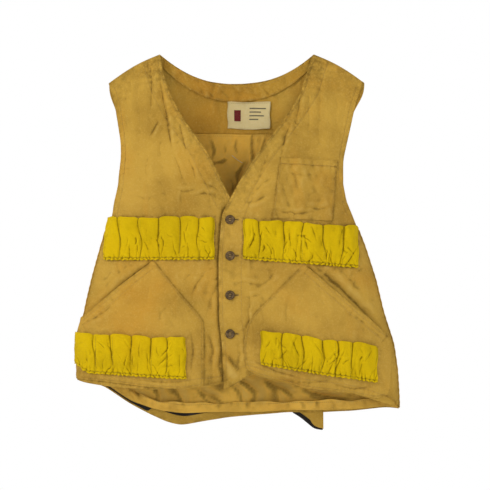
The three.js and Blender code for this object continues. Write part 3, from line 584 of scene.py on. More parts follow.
foldLines = {
    "right": [
        # from the shoulder seam down
        ([(-0.134, -0.012), (-0.131, -0.045), (-0.133, -0.095)], 0.0026, 0.0035),
        ([(-0.119, -0.035), (-0.113, -0.075), (-0.105, -0.108), (-0.101, -0.140)], 0.0030, 0.0032),
        ([(-0.111, -0.085), (-0.107, -0.115), (-0.098, -0.150)], 0.0016, 0.0025),
        ([(-0.119, -0.100), (-0.127, -0.115), (-0.134, -0.128)], 0.0018, 0.0025),
        ([(-0.090, -0.104), (-0.083, -0.130), (-0.076, -0.156)], 0.0016, 0.0025),
        ([(-0.150, -0.020), (-0.153, -0.060), (-0.149, -0.110), (-0.152, -0.150)], 0.0014, 0.006),
        ([(-0.172, -0.045), (-0.168, -0.090), (-0.170, -0.130)], 0.0012, 0.005),
        ([(-0.098, -0.152), (-0.088, -0.175), (-0.080, -0.202)], 0.0010, 0.0028),
        ([(-0.075, -0.160), (-0.066, -0.180), (-0.062, -0.200)], 0.0012, 0.0025),
        ([(-0.100, -0.207), (-0.080, -0.213), (-0.058, -0.209)], 0.0010, 0.0025),
        ([(-0.070, -0.222), (-0.050, -0.215), (-0.032, -0.219)], 0.0011, 0.0022),
        ([(-0.050, -0.200), (-0.036, -0.206), (-0.024, -0.214)], 0.0012, 0.002),
        ([(-0.160, -0.215), (-0.140, -0.224), (-0.118, -0.222)], 0.0008, 0.003),
        ([(-0.135, -0.150), (-0.139, -0.180), (-0.136, -0.205)], 0.0009, 0.004),
        # lower front
        ([(-0.047, -0.335), (-0.060, -0.352), (-0.070, -0.372)], 0.0012, 0.003),
        ([(-0.030, -0.352), (-0.040, -0.380), (-0.036, -0.410)], 0.0013, 0.0035),
        ([(-0.020, -0.330), (-0.026, -0.344), (-0.040, -0.350)], 0.0010, 0.0025),
        ([(-0.042, -0.430), (-0.036, -0.455), (-0.040, -0.485)], 0.0012, 0.003),
        ([(-0.190, -0.330), (-0.200, -0.345), (-0.214, -0.352)], 0.0010, 0.0035),
        ([(-0.140, -0.324), (-0.175, -0.352), (-0.225, -0.396)], 0.0028, 0.0045),
        ([(-0.165, -0.322), (-0.190, -0.345), (-0.218, -0.372)], 0.0014, 0.006),
        ([(-0.021, -0.450), (-0.028, -0.480), (-0.020, -0.498)], 0.0016, 0.003),
    ],
    "left": [
        ([(0.130, -0.030), (0.128, -0.075), (0.125, -0.150)], 0.0014, 0.005),
        ([(0.099, -0.050), (0.095, -0.085), (0.088, -0.116)], 0.0022, 0.0035),
        ([(0.150, -0.030), (0.155, -0.080), (0.150, -0.140)], 0.0012, 0.006),
        ([(0.112, -0.040), (0.110, -0.090), (0.112, -0.140)], 0.0009, 0.004),
        ([(0.084, -0.105), (0.074, -0.130), (0.067, -0.160)], 0.0018, 0.0025),
        ([(0.172, -0.060), (0.164, -0.100), (0.158, -0.150)], 0.0012, 0.006),
        ([(0.050, -0.152), (0.038, -0.180), (0.028, -0.205)], 0.0011, 0.0035),
        ([(0.060, -0.190), (0.040, -0.200), (0.020, -0.222)], 0.0010, 0.003),
        ([(0.052, -0.215), (0.030, -0.228), (0.005, -0.232)], 0.0012, 0.003),
        ([(0.014, -0.196), (0.012, -0.215), (0.000, -0.233)], 0.0009, 0.003),
        ([(-0.012, -0.240), (0.004, -0.246), (0.020, -0.243)], 0.0009, 0.002),
        ([(-0.006, -0.355), (0.010, -0.350), (0.032, -0.356)], 0.0011, 0.0025),
        ([(-0.004, -0.432), (0.010, -0.424), (0.020, -0.405)], 0.0013, 0.0025),
        ([(-0.004, -0.372), (0.020, -0.374), (0.040, -0.368)], 0.0009, 0.0025),
        ([(0.060, -0.335), (0.044, -0.352), (0.030, -0.360)], 0.0009, 0.003),
        ([(0.003, -0.490), (-0.005, -0.478), (-0.014, -0.462)], 0.0030, 0.0035),
        ([(0.001, -0.440), (0.004, -0.462), (0.001, -0.486)], 0.0018, 0.003),
        ([(0.120, -0.327), (0.150, -0.352), (0.190, -0.392), (0.228, -0.430)], 0.0042, 0.0055),
        ([(0.150, -0.325), (0.175, -0.350), (0.200, -0.385)], 0.0018, 0.006),
        ([(0.196, -0.300), (0.203, -0.340), (0.214, -0.390)], 0.0012, 0.005),
        ([(0.020, -0.500), (0.070, -0.498), (0.120, -0.514)], 0.0022, 0.004),
        ([(0.035, -0.489), (0.060, -0.494), (0.085, -0.503)], 0.0018, 0.003),
    ],
}

def scatterCreases(seed, count, side):
    # Short faint creases, steep on the chest and every way lower down.
    dice, made = random.Random(seed), []
    for _ in range(count):
        cx, cz = side * dice.uniform(0.0, 0.19), dice.uniform(-0.49, -0.05)
        angle = math.pi / 2 + dice.gauss(0, 0.45 if cz > -0.25 else 0.9)
        reach, bend = dice.uniform(0.012, 0.042), dice.uniform(-0.003, 0.003)
        dx, dz = math.cos(angle) * reach / 2, math.sin(angle) * reach / 2
        made.append(([(cx - dx, cz - dz), (cx + bend, cz + bend), (cx + dx, cz + dz)],
                     dice.uniform(0.0003, 0.0008), dice.uniform(0.0016, 0.0030)))
    return made

faintCreases = {"right": scatterCreases(61, 46, -1), "left": scatterCreases(62, 46, 1)}

def calmAtSides(x, z):
    return smooth((0.999 - np.abs(x) / halfWidth(x, z)) / 0.09)

def calmNearButtons(x, z):
    calm = 1.0
    for bx, _, bz in buttonSpots:
        calm = calm * (1 - 0.85 * bump(np.hypot(x - bx, (z - bz)), 0.012))
    return calm

def frontRelief(side, x, z):
    # How far the cloth of a front stands off its smooth surface, outwards.
    key = "left" if side > 0 else "right"
    below = np.maximum(0, shoulderZ(x) - z)
    free = smooth(below / 0.03)
    seamed = smooth((below - 0.0005) / 0.012)
    r = 0.0022 * soft["big"](x, z) + 0.0006 * soft["mid"](x, z) + 0.00016 * soft["small"](x, z)
    r = r + 0.00022 * ridged(soft["cross"], x, z) + 0.00005 * soft["fine"](x, z)
    r = r * (0.35 + 0.65 * free)
    for points, depth, width in foldLines[key] + faintCreases[key]:
        r = r + fold(x, z, points, depth, width, 0.65 if side < 0 else 0.8)
    edge, hem = ("leftEdge", "leftHem") if side > 0 else ("rightEdge", "rightHem")
    r = r + pucker(x, z, edgeLine(edge, -0.24, -0.005, side * 0.0045), 0.0005, 0.0085, 0.006, 5)
    r = r + pucker(x, z, edgeLine(edge, -0.235, -0.01, side * 0.027), 0.00055, 0.011, 0.007, 6)
    r = r + pucker(x, z, holeLine(side, -0.25, -0.05, 0.0075), 0.0005, 0.010, 0.006, 7)
    x0, x1 = (-0.016, 0.245) if side > 0 else (-0.24, 0.008)
    r = r + pucker(x, z, hemLine(hem, x0, x1, 0.0125), 0.0007, 0.012, 0.006, 9)
    if side > 0:
        r = r + pucker(x, z, edgeLine(edge, -0.50, -0.245, 0.005), 0.0005, 0.010, 0.005, 11)
        r = r + pucker(x, z, edgeLine(edge, -0.48, -0.22, 0.034), 0.0005, 0.013, 0.006, 12)
        calm = calmNearButtons(x, z)
        r = r * calm * np.where(x < 0.02, 0.55, 1)
        rim = smooth((curves["leftEdge"](z) + 0.012 - x) / 0.012)
        r = (r + 0.0006 * smooth((0.0 - x) / 0.02)
             + 0.0009 * rim * (0.5 + np.sin(z * 88 + 1 + 2 * soft["big"](x, z))))
        # the rumpled lower corner
        r = r + 0.004 * bump(np.hypot(x + 0.006, z + 0.490), 0.012)
    else:
        r = r - 0.0033 * smooth((x + 0.058) / 0.032)
        r = r - (0.25 * r + 0.0008) * smooth((x + 0.045) / 0.02)
        edge = x - curves["leftEdge"](z)
        groove = bump(edge + 0.003, 0.005) + 1.3 * bump(edge + 0.001, 0.0026)
        r = r - 0.0012 * groove * smooth((-0.232 - z) / 0.01)
    return r * calmAtSides(x, z) * seamed

def makeFront(side):
    key = "left" if side > 0 else "right"
    inner, hem = key + "Edge", key + "Hem"
    u, v = grid(340, 170)
    top = np.full(u.shape[1], -0.02)
    hemX0, hemX1 = float(curves[inner](-0.5)), float(side * halfWidth(side * 0.1, -0.52) * 0.9985)
    xb = hemX0 + (hemX1 - hemX0) * u[0]
    bottom = curves[hem](xb)
    for _ in range(6):
        xt = across(curves[inner](top), outerX(side, top), top, u[0])
        top = shoulderZ(xt) - 1e-6
    rise = 1 - (1 - v) ** 1.25
    z = bottom[None, :] + (top - bottom)[None, :] * rise
    x = across(curves[inner](z), outerX(side, z), z, u)
    toMouth = nearLine(x, z, mouthLine(side))[0]
    relief = frontRelief(side, x, z) - 0.0018 * bump(toMouth, 0.0028)
    p = raised(x, bodyY(-1, x, z), z, -1, relief - thick["canvas"] / 2)
    fromEdge = np.abs(x - curves[inner](z))
    wearAndShade = 0.7 * bump(fromEdge, 0.004) + 0.5 * bump(z - bottom[None, :], 0.006)
    wearAndShade = wearAndShade + 0.35 * smooth((0.030 - fromEdge) / 0.006) * smooth((z + 0.27) / 0.02)
    # painted shade: the shoulders, which face up, darkened towards the shoulder seam
    wearAndShade = wearAndShade + 0.55 * smooth((0.075 - (shoulderZ(x) - z)) / 0.075)
    wearAndShade = wearAndShade + 0.5 * bump(np.abs(x) - np.abs(outerX(side, z)), 0.004)
    # painted shadow: darker around the upper loop strips, with a dark contact line at their outline
    for points in stripOutlines(side):
        toStrip = nearLine(x, z, points)[0]
        wearAndShade = wearAndShade + 0.5 * np.exp(-toStrip / 0.006) + 0.8 * bump(toStrip, 0.0022)
    # painted shadow along the pocket mouth
    wearAndShade = wearAndShade + 0.9 * bump(toMouth, 0.003)
    # painted shadow: a dark line along the closure edge where the left front overlaps the right
    if side < 0:
        wearAndShade = wearAndShade + 0.9 * bump(x - curves["leftEdge"](z) + 0.001, 0.0022) * smooth((-0.232 - z) / 0.01)
    # dark line along the pocket outlines: partly dirt, partly painted shadow
    for points in patchOutlines(side):
        wearAndShade = wearAndShade + 0.9 * bump(nearLine(x, z, points)[0], 0.0022)
    piece = clothPiece(key + "Front", p, thick["canvas"], "canvas", -1, relief, np.clip(wearAndShade, 0, 1))
    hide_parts(key + "_front_panel", key + "_shoulder_piece",
                *(["buttonhole_band"] if side > 0 else []))
    attach(piece, key + "_front", True)
    declareSheet(piece, p, 0.25)
    return piece

# ---------------------------------------------------------------- shell loop strips
strips = {
    "rightUpper": {"side": -1, "ends": (-0.0345, -0.2035), "top": (-0.2515, -0.2525),
                   "bottom": (-0.3165, -0.3175),
                   "joints": [0, 0.135, 0.31, 0.495, 0.67, 0.86, 1], "seed": 4,
                   "node": "right_upper_shell_loops"},
    "leftUpper": {"side": 1, "ends": (0.0105, 0.186), "top": (-0.2545, -0.2665),
                  "bottom": (-0.3155, -0.3295),
                  "joints": [0, 0.135, 0.345, 0.51, 0.70, 0.86, 1], "seed": 9,
                  "node": "left_upper_shell_loops"},
    "rightLower": {"side": -1, "ends": (-0.077, -0.246), "top": (-0.4355, -0.4295),
                   "bottom": (-0.4985, -0.490),
                   "joints": [0, 0.17, 0.31, 0.49, 0.665, 0.82, 1], "seed": 14,
                   "node": "right_lower_shell_loops"},
    "leftLower": {"side": 1, "ends": (0.0365, 0.2135), "top": (-0.4235, -0.4495),
                  "bottom": (-0.4765, -0.5055),
                  "joints": [0, 0.18, 0.355, 0.525, 0.64, 0.775, 1], "seed": 23,
                  "node": "left_lower_shell_loops"},
}

def stripOutlines(side):
    lines = []
    for s in strips.values():
        if s["side"] == side and "Lower" not in s["node"] and "lower" not in s["node"]:
            (x0, x1), (t0, t1), (b0, b1) = s["ends"], s["top"], s["bottom"]
            lines.append([(x0, t0), (x1, t1), (x1, b1), (x0, b0), (x0, t0)])
    return lines

# ---------------------------------------------------------------- pockets
pockets = {
    "left": {"apex": (0.1025, -0.3262), "floor": -0.533, "room": 0.009,
             "inner": [(-0.54, 0.030), (-0.500, 0.020), (-0.483, 0.0155), (-0.462, 0.0115), (-0.440, 0.0115),
                       (-0.416, 0.016), (-0.397, 0.030), (-0.361, 0.066), (-0.326, 0.1010)],
             "outer": [(-0.54, 0.226), (-0.527, 0.231), (-0.507, 0.236), (-0.443, 0.238), (-0.434, 0.230),
                       (-0.391, 0.178), (-0.356, 0.138), (-0.326, 0.1045)],
             "base": [(0.010, -0.478), (0.018, -0.486), (0.035, -0.493), (0.104, -0.512), (0.177, -0.5215),
                      (0.215, -0.530), (0.232, -0.524), (0.24, -0.518)]},
    "right": {"apex": (-0.128, -0.320), "floor": -0.512, "room": 0.008,
              "inner": [(-0.52, -0.0505), (-0.413, -0.0505), (-0.405, -0.055), (-0.372, -0.084),
                        (-0.320, -0.1265)],
              "outer": [(-0.52, -0.2455), (-0.420, -0.2455), (-0.411, -0.241), (-0.396, -0.221),
                        (-0.350, -0.167),
                        (-0.320, -0.1300)],
              "base": [(-0.25, -0.4995), (-0.203, -0.5035), (-0.137, -0.5105), (-0.082, -0.5135),
                       (-0.05, -0.509)]},
}
for p in pockets.values():
    p["innerAt"], p["outerAt"] = table(p["inner"], 0.004), table(p["outer"], 0.003)
    p["baseAt"] = table(p["base"], 0.004)

def mouthLine(side, inset=0.0, count=24):
    p = pockets["left" if side > 0 else "right"]
    end = -0.434 if side > 0 else -0.411
    direction = (-side * 0.62, -0.78)
    return [(float(p["outerAt"](z)) + direction[0] * inset, z + direction[1] * inset)
            for z in np.linspace(p["apex"][1] - 0.004, end, count)]

def pocketOutline(side, inset):
    p = pockets["left" if side > 0 else "right"]
    low = -0.476 if side > 0 else -0.50
    down = [(float(p["innerAt"](z)) + side * inset, z) for z in np.linspace(p["apex"][1] - 0.006, low, 30)]
    x0, x1 = (0.022, 0.226) if side > 0 else (-0.054, -0.236)
    across_ = [(x, float(p["baseAt"](x)) + inset) for x in np.linspace(x0, x1, 30)]
    return down + across_

def pocketOffset(side, x, z):
    p = pockets["left" if side > 0 else "right"]
    d = nearLine(x, z, pocketOutline(side, 0))[0]
    side_ = np.abs(x - p["outerAt"](z)) + 0.3 * np.maximum(0, z + (0.43 if side > 0 else 0.408))
    open_ = smooth(d / 0.06) * (0.25 + 0.75 * smooth(side_ / 0.05))
    mouth = mouthLine(side)
    md, along, _, run = nearLine(x, z, mouth)
    gape = np.sin(np.pi * np.clip(along / run, 0, 1)) ** 0.7 * np.exp(-md / 0.03)
    r = p["room"] * open_ + (0.0085 if side > 0 else 0.0060) * gape + 0.0009
    r = r + (0.0009 * soft["big"](x + 0.3, z) + 0.0005 * soft["mid"](x + 0.3, z)) * smooth(d / 0.02)
    r = r + 0.00018 * soft["small"](x, z + 0.2) + 0.0002 * ridged(soft["cross"], x + 0.1, z)
    r = r + pucker(x, z, pocketOutline(side, 0.0025), 0.0005, 0.009, 0.005, 17)
    r = r + pucker(x, z, mouthLine(side, 0.0095), 0.0005, 0.010, 0.005, 19)
    for points, depth, width in pocketFolds["left" if side > 0 else "right"]:
        r = r + fold(x, z, points, depth, width)
    return r

pocketFolds = {
    "left": [([(0.075, -0.412), (0.074, -0.395), (0.078, -0.378)], 0.0010, 0.003),
             ([(0.120, -0.350), (0.128, -0.380), (0.140, -0.400)], 0.0013, 0.005),
             ([(0.160, -0.395), (0.175, -0.405), (0.200, -0.420)], 0.0014, 0.004),
             ([(0.024, -0.470), (0.060, -0.487), (0.100, -0.497)], 0.0020, 0.003),
             ([(0.070, -0.500), (0.110, -0.505), (0.150, -0.500)], 0.0016, 0.004),
             ([(0.150, -0.508), (0.180, -0.515), (0.210, -0.512)], 0.0014, 0.003)],
    "right": [([(-0.150, -0.345), (-0.160, -0.365), (-0.185, -0.383)], 0.0016, 0.004),
              ([(-0.180, -0.380), (-0.200, -0.398), (-0.232, -0.418)], 0.0020, 0.0035),
              ([(-0.130, -0.340), (-0.135, -0.380), (-0.150, -0.410)], 0.0012, 0.005),
              ([(-0.100, -0.380), (-0.115, -0.400), (-0.120, -0.425)], 0.0010, 0.004),
              ([(-0.070, -0.425), (-0.066, -0.455), (-0.070, -0.490)], 0.0012, 0.003),
              ([(-0.075, -0.503), (-0.110, -0.504), (-0.150, -0.501)], 0.0012, 0.0025)],
}

def patchOutlines(side):
    lines = [pocketOutline(side, 0)]
    if side > 0:
        c = chest["corners"]
        lines.append([c[3], c[0]])
        lines.append([c[2], c[1]])
    return lines

def pocketBase(side, x, z):
    inside = smooth(nearLine(x, z, pocketOutline(side, 0))[0] / 0.035)
    return frontRelief(side, x, z) * (1 - 0.6 * inside)

def makePocket(side):
    key = "left" if side > 0 else "right"
    p = pockets[key]
    u, v = grid(190, 150)
    x0, x1 = float(p["innerAt"](p["floor"])), float(p["outerAt"](p["floor"]))
    xb = x0 + (x1 - x0) * u
    for _ in range(6):
        bottom = p["baseAt"](xb)
        xb = p["innerAt"](bottom) + (p["outerAt"](bottom) - p["innerAt"](bottom)) * u
    z = bottom + (p["apex"][1] - bottom) * v
    limit = halfWidth(np.full(z.shape, side * 0.1), z) * 0.992
    outer = np.clip(p["outerAt"](z), -limit, limit)
    x = p["innerAt"](z) + (outer - p["innerAt"](z)) * u
    offset = pocketOffset(side, x, z)
    under = pocketBase(side, x, z)
    q = raised(x, bodyY(-1, x, z), z, -1, offset + under + thick["tape"] / 2)
    md = nearLine(x, z, mouthLine(side))[0]
    # darker along the mouth and the outline: painted shadow, partly dirt at the edges
    wearAndShade = 0.5 * bump(md, 0.003) + 0.45 * np.exp(-nearLine(x, z, pocketOutline(side, 0))[0] / 0.003)
    s = strips[key + "Lower"]
    (sx0, sx1), (t0, t1), (b0, b1) = s["ends"], s["top"], s["bottom"]
    ring = [(sx0, t0), (sx1, t1), (sx1, b1), (sx0, b0), (sx0, t0)]
    # painted shadow around the lower loop strip
    wearAndShade = wearAndShade + 0.55 * np.exp(-nearLine(x, z, ring)[0] / 0.006)
    piece = clothPiece(key + "Pocket", q, thick["tape"] + 0.0002, "canvas", -1, offset, np.clip(wearAndShade, 0, 1))
    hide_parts(key + "_lower_pocket")
    attach(piece, key + "_front")
    declareSheet(piece, q, 0.2)
    # the facing turned in at the mouth
    u, v = grid(8, 60)
    line = np.array(mouthLine(side, 0.0005, 60))
    along = np.stack([line[:, 0], line[:, 1]], -1)
    x = along[None, :, 0] + (-side * 0.62) * 0.011 * v
    z = along[None, :, 1] - 0.78 * 0.011 * v
    x = np.clip(x, -halfWidth(x, z) * 0.985, halfWidth(x, z) * 0.985)
    off = pocketOffset(side, x, z) + pocketBase(side, x, z)
    q = raised(x, bodyY(-1, x, z), z, -1, off - 0.0009)
    lip = clothPiece(key + "PocketLip", q, thick["tape"], "lining", -1)
    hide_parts(key + "_pocket_lip")
    attach(lip, key + "_front")
    declareSheet(lip, q, 0.011)

# ---------------------------------------------------------------- chest pocket
chest = {"corners": [(0.0545, -0.2535), (0.1465, -0.2575), (0.1545, -0.1665), (0.0665, -0.1625)],
         "room": 0.0035}

def chestPoint(u, v):
    c = np.array(chest["corners"])
    low = c[0][:, None, None] * (1 - u) + c[1][:, None, None] * u
    high = c[3][:, None, None] * (1 - u) + c[2][:, None, None] * u
    return low + (high - low) * v

def chestOffset(u, v, x, z):
    sides = smooth(np.minimum(u, 1 - u) / 0.3) * smooth(v / 0.3)
    r = (chest["room"] * sides + 0.0009 + 0.0004 * soft["small"](x + 0.5, z)
         + 0.0006 * soft["mid"](x + 0.4, z))
    c = chest["corners"]
    r = (r + pucker(x, z, [c[3], c[0]], 0.0006, 0.010, 0.006, 23)
         + pucker(x, z, [c[2], c[1]], 0.0006, 0.010, 0.006, 24))
    r = r + pucker(x, z, [(c[3][0], c[3][1] - 0.0085), (c[2][0], c[2][1] - 0.0085)], 0.0006,
                   0.009, 0.005, 25)
    r = r + fold(x, z, [(0.062, -0.243), (0.090, -0.247), (0.120, -0.244)], 0.0016, 0.003)
    r = r + fold(x, z, [(0.080, -0.185), (0.100, -0.189), (0.118, -0.186)], 0.0007, 0.003)
    return r + fold(x, z, [(0.105, -0.236), (0.125, -0.240), (0.142, -0.236)], 0.0013, 0.003)

def makeChestPocket():
    u, v = grid(70, 70)
    x, z = chestPoint(u, v)
    offset = chestOffset(u, v, x, z)
    p = raised(x, bodyY(-1, x, z), z, -1, offset + frontRelief(1, x, z) + thick["tape"] / 2)
    # darker along the top edge and sides: partly dirt, partly painted shadow
    wearAndShade = 0.8 * bump((1 - v) * 0.09, 0.0022) + 0.5 * bump(np.minimum(u, 1 - u) * 0.09, 0.002)
    s = strips["leftUpper"]
    (sx0, sx1), (t0, t1) = s["ends"], s["top"]
    # painted shadow along the top edge of the upper loop strip
    wearAndShade = wearAndShade + 0.6 * np.exp(-nearLine(x, z, [(sx0, t0), (sx1, t1)])[0] / 0.007)
    piece = clothPiece("chestPocket", p, thick["tape"], "canvas", -1, offset, np.clip(wearAndShade, 0, 1))
    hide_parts("chest_pocket")
    attach(piece, "left_front", True)
    declareSheet(piece, p, 0.09)
    u, v = grid(10, 70)
    u = 0.01 + 0.98 * u
    v = 1 - 0.0085 / 0.091 * (1 - v) + 0.004
    x, z = chestPoint(u, v)
    offset = chestOffset(u, v, x, z)
    p = raised(x, bodyY(-1, x, z), z, -1, offset + frontRelief(1, x, z) + thick["tape"] * 1.3)
    hem = clothPiece("chestPocketHem", p, thick["tape"], "canvas", -1, offset)
    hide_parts("chest_pocket_hem")
    attach(hem, "left_front", True)
    declareSheet(hem, p, 0.0095)

def makeStrip(key):
    s = strips[key]
    side, joints = s["side"], np.array(s["joints"])
    dice = random.Random(s["seed"])
    rows, cols = 84, 300
    u, v = grid(rows, cols)
    (x0, x1), (t0, t1), (b0, b1) = s["ends"], s["top"], s["bottom"]
    length, height = abs(x1 - x0), abs(t0 - b0)
    cell = np.clip(np.searchsorted(joints, u, "right") - 1, 0, len(joints) - 2)
    left, right_ = joints[cell], joints[cell + 1]
    w = (u - left) / (right_ - left)
    puffs = np.array([dice.uniform(0.75, 1.2) for _ in joints])
    lean = np.array([dice.uniform(-0.25, 0.25) for _ in joints])
    # the stitched lines between the loops wander a little
    wander = np.array([dice.choice((-1, 1)) * dice.uniform(0.0012, 0.0030) for _ in joints])
    turns = np.array([dice.uniform(1.0, 2.1) for _ in joints])
    start = np.array([dice.uniform(0, 3.0) for _ in joints])
    wander[0] = wander[-1] = 0
    swayAt = [wander[i] * (np.sin(np.pi * v * turns[i] + start[i]) + 0.35 * np.sin(9 * v + 5 * start[i]))
              for i in range(len(joints))]
    swayAt = np.stack(swayAt)
    swayRows, cellRow = swayAt.reshape(len(joints), -1), cell.reshape(1, -1)
    swayLeft = np.take_along_axis(swayRows, cellRow, 0).reshape(u.shape)
    swayRight = np.take_along_axis(swayRows, cellRow + 1, 0).reshape(u.shape)
    sway = swayLeft * (1 - w) + swayRight * w
    arch = 1 - np.abs(2 * np.clip(w + lean[cell] * 0.15 * np.sin(np.pi * w), 0, 1) - 1) ** 2.6
    rise = 0.22 + 0.78 * smooth(v / 0.75)
    puff = 0.0044 * puffs[cell] * arch * rise
    q = v * height
    a = u * length
    gather = np.zeros(u.shape)
    for i in range(int(length / 0.0052)):
        c = (i + 0.5 + dice.uniform(-0.4, 0.4)) * 0.0052
        tall = dice.choice([dice.uniform(0.005, 0.010), dice.uniform(0.008, 0.026)])
        tilt = dice.uniform(-0.6, 0.6)
        sharp = dice.uniform(0.0009, 0.0019)
        d = a - c - tilt * q + 0.0016 * math.sin(i * 2.3) * np.sin(q * 240 + i)
        gather -= dice.uniform(0.0010, 0.0027) * np.exp(-np.abs(d / sharp) ** 1.4) * np.exp(-(q / tall) ** 2)
    gather += 0.0012 * np.exp(-(q / 0.012) ** 2)
    creases = np.zeros(u.shape)
    for i in range(len(joints) - 1):
        ca = (joints[i] + joints[i + 1]) / 2 * length
        wide = (joints[i + 1] - joints[i]) * length
        for _ in range(4):
            cx = ca + dice.uniform(-0.5, 0.5) * wide
            cq = dice.uniform(0.2, 0.8) * height
            reach = dice.uniform(0.010, 0.032)
            angle = math.pi / 2 + dice.gauss(0, 0.5)
            dx, dq = math.cos(angle) * reach / 2, math.sin(angle) * reach / 2
            bendX = dice.uniform(-0.002, 0.002)
            creases += fold(a, q, [(cx - dx, cq - dq), (cx + bendX, cq), (cx + dx, cq + dq)],
                            dice.uniform(0.0008, 0.0018), dice.uniform(0.0011, 0.0020), 0.7)
    rumple = Rumple(s["seed"] + 70, 0.02, (0.8, 1.5))
    creases += 0.0006 * rumple(a, q) + 0.00008 * Rumple(s["seed"] + 80, 0.007)(a, q)
    seamHere = np.minimum(w * (right_ - left), (1 - w) * (right_ - left)) * length
    inner = (cell > 0) | (w > 0.5)
    inner = inner & ((cell < len(joints) - 2) | (w < 0.5))
    valley = -0.0012 * bump(seamHere, 0.0011) * inner
    sideSeam = np.minimum(a, length - a)
    flatten = smooth(sideSeam / 0.004)
    stitchRow = -0.0011 * bump(q - 0.0032, 0.0012)
    ruffle = 0.0010 * np.sin(a * 2 * np.pi / 0.0068 + 2 * np.sin(a * 90)) * np.exp(-(q / 0.003) ** 2)
    reachOut = np.abs(x0 + (x1 - x0) * u) / halfWidth(side * 0.1, (t0 + b0) / 2)
    roundSide = 0.35 + 0.65 * smooth((0.99 - reachOut) / 0.12)
    relief = (puff * flatten * roundSide + gather + creases * flatten * roundSide + valley
              + stitchRow + ruffle)
    relief = np.where(relief < -0.0004, -0.0004 + 0.2 * (relief + 0.0004), relief)
    top = (1 - u) * t0 + u * t1
    bottom = (1 - u) * b0 + u * b1
    notch = -0.0019 * bump(seamHere, 0.0035) * inner + 0.0011 * np.sin(a * 70 + s["seed"])
    notch = notch + 0.0006 * np.sin(a * 167 + 2 * s["seed"]) - 0.0025 * bump(sideSeam, 0.0022)
    frill = 0.0007 * np.sin(a * 2 * np.pi / 0.0075 + 1.7 * np.sin(a * 60))
    lower = frill
    if key == "rightLower":
        lower = lower + 0.012 * smooth((a - length + 0.028) / 0.028) ** 1.5
    z = (bottom + lower) + (top + notch - bottom - lower) * v
    x = (x0 + (x1 - x0) * u + side * sway
         + 0.0008 * side * np.sin(z * 160) * np.where(u < 0.5, -1, 1) * bump(sideSeam, 0.01))
    limit = halfWidth(x, z) * 0.994
    x = np.clip(x, -limit, limit)
    under = frontRelief(side, x, z)
    if "Lower" in key:
        under = pocketBase(side, x, z) + pocketOffset(side, x, z) + 0.001
    elif side > 0:
        inPocket = smooth((x - 0.050) / 0.006) * smooth((0.152 - x) / 0.006) * smooth((z + 0.262) / 0.006)
        under = under + 0.003 * inPocket
    p = raised(x, bodyY(-1, x, z), z, -1, blurred(under, 1, 4) + relief + 0.0014)
    # darker along the bottom stitch row, between the loops and at the ends: painted shade in the gaps and
    # grooves
    wearAndShade = (0.55 * bump(q - 0.0032, 0.0016) + 0.5 * bump(seamHere, 0.0011) * inner
            + 0.35 * bump(sideSeam - 0.002, 0.0012))
    piece = clothPiece(key + "Loops", p, thick["tape"], "loops", -1, relief, np.clip(wearAndShade, 0, 1), 0.0009)
    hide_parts(s["node"])
    attach(piece, ("left" if side > 0 else "right") + "_front")
    s["bottomLine"] = [(float(x0 + (x1 - x0) * t), float((1 - t) * b0 + t * b1) + 0.0032)
                       for t in np.linspace(0.01, 0.99, 40)]
    s["seamLines"] = [[(float(x0 + (x1 - x0) * j), float((1 - j) * b0 + j * b1) + 0.004),
                       (float(x0 + (x1 - x0) * j), float((1 - j) * t0 + j * t1) - 0.002)]
                       for j in joints[1:-1]]

# ---------------------------------------------------------------- the back
def backRelief(x, z):
    r = 0.0022 * soft["big"](x + 1, z) + 0.0007 * soft["mid"](x + 2, z)
    r = r + 0.00016 * soft["small"](x + 3, z) + 0.00022 * ridged(soft["cross"], x + 1, z)
    for points, depth, width in backFolds:
        r = r + fold(x, z, points, depth, width, 0.7)
    return r * smooth((shoulderZ(x) - z) / 0.03) * calmAtSides(x, z)

def scatterFolds(seed, count, low, high, deep):
    dice, made = random.Random(seed), []
    for _ in range(count):
        cx, cz = dice.uniform(-0.2, 0.2), dice.uniform(low, high)
        angle, reach = dice.gauss(math.pi / 2, 0.6), dice.uniform(0.03, 0.10)
        dx, dz = math.cos(angle) * reach / 2, math.sin(angle) * reach / 2
        made.append(([(cx - dx, cz - dz), (cx + dice.uniform(-0.006, 0.006), cz), (cx + dx, cz + dz)],
                     deep * dice.uniform(0.4, 1), dice.uniform(0.0024, 0.0055)))
    return made

backFolds = scatterFolds(301, 22, -0.52, -0.07, 0.0012)
bagFolds = scatterFolds(302, 26, -0.55, -0.31, 0.0024)

def backTopZ(x):
    share = np.clip(np.abs(x) / shape["neckHalf"], 0, 9)
    inside = -shape["backNeckDrop"] * (1 - share ** 2.3)
    return np.where(share > 1, shoulderZ(x), inside)

def makeYoke():
    u, v = grid(70, 200)
    xt = -shape["tipHalf"] + 2 * shape["tipHalf"] * u
    zt = backTopZ(xt)
    rise = 1 - (1 - v) ** 1.6
    z = shape["yokeZ"] + (zt - 1e-6 - shape["yokeZ"]) * rise
    low = across(outerX(-1, z), outerX(1, z), z, u)
    h = zt - z
    x = xt + (low - xt) * smooth(h / 0.05)
    relief = backRelief(x, z)
    collar = [(t, float(backTopZ(t)) - 0.024 * (1 - 0.4 * (abs(t) / shape["neckHalf"]) ** 2))
              for t in np.linspace(-0.1, 0.1, 24)]
    relief = relief + pucker(x, z, collar, 0.0005, 0.011, 0.006, 31)
    relief = relief + pucker(x, z, [(-0.17, -0.1185), (0.16, -0.1185)], 0.0005, 0.012, 0.006, 32)
    p = raised(x, bodyY(1, x, z), z, 1, relief - thick["canvas"] / 2)
    wearAndShade = 0.5 * bump(z - zt, 0.003) + 0.4 * bump(z - shape["yokeZ"], 0.004)
    wearAndShade = wearAndShade + 0.5 * smooth((0.05 - (zt - z)) / 0.05)
    piece = clothPiece("backYoke", p, thick["canvas"], "canvas", 1, relief, np.clip(wearAndShade, 0, 1), 0.0020)
    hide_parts("back_yoke")
    attach(piece, "vest_back")
    declareSheet(piece, p, 0.36)

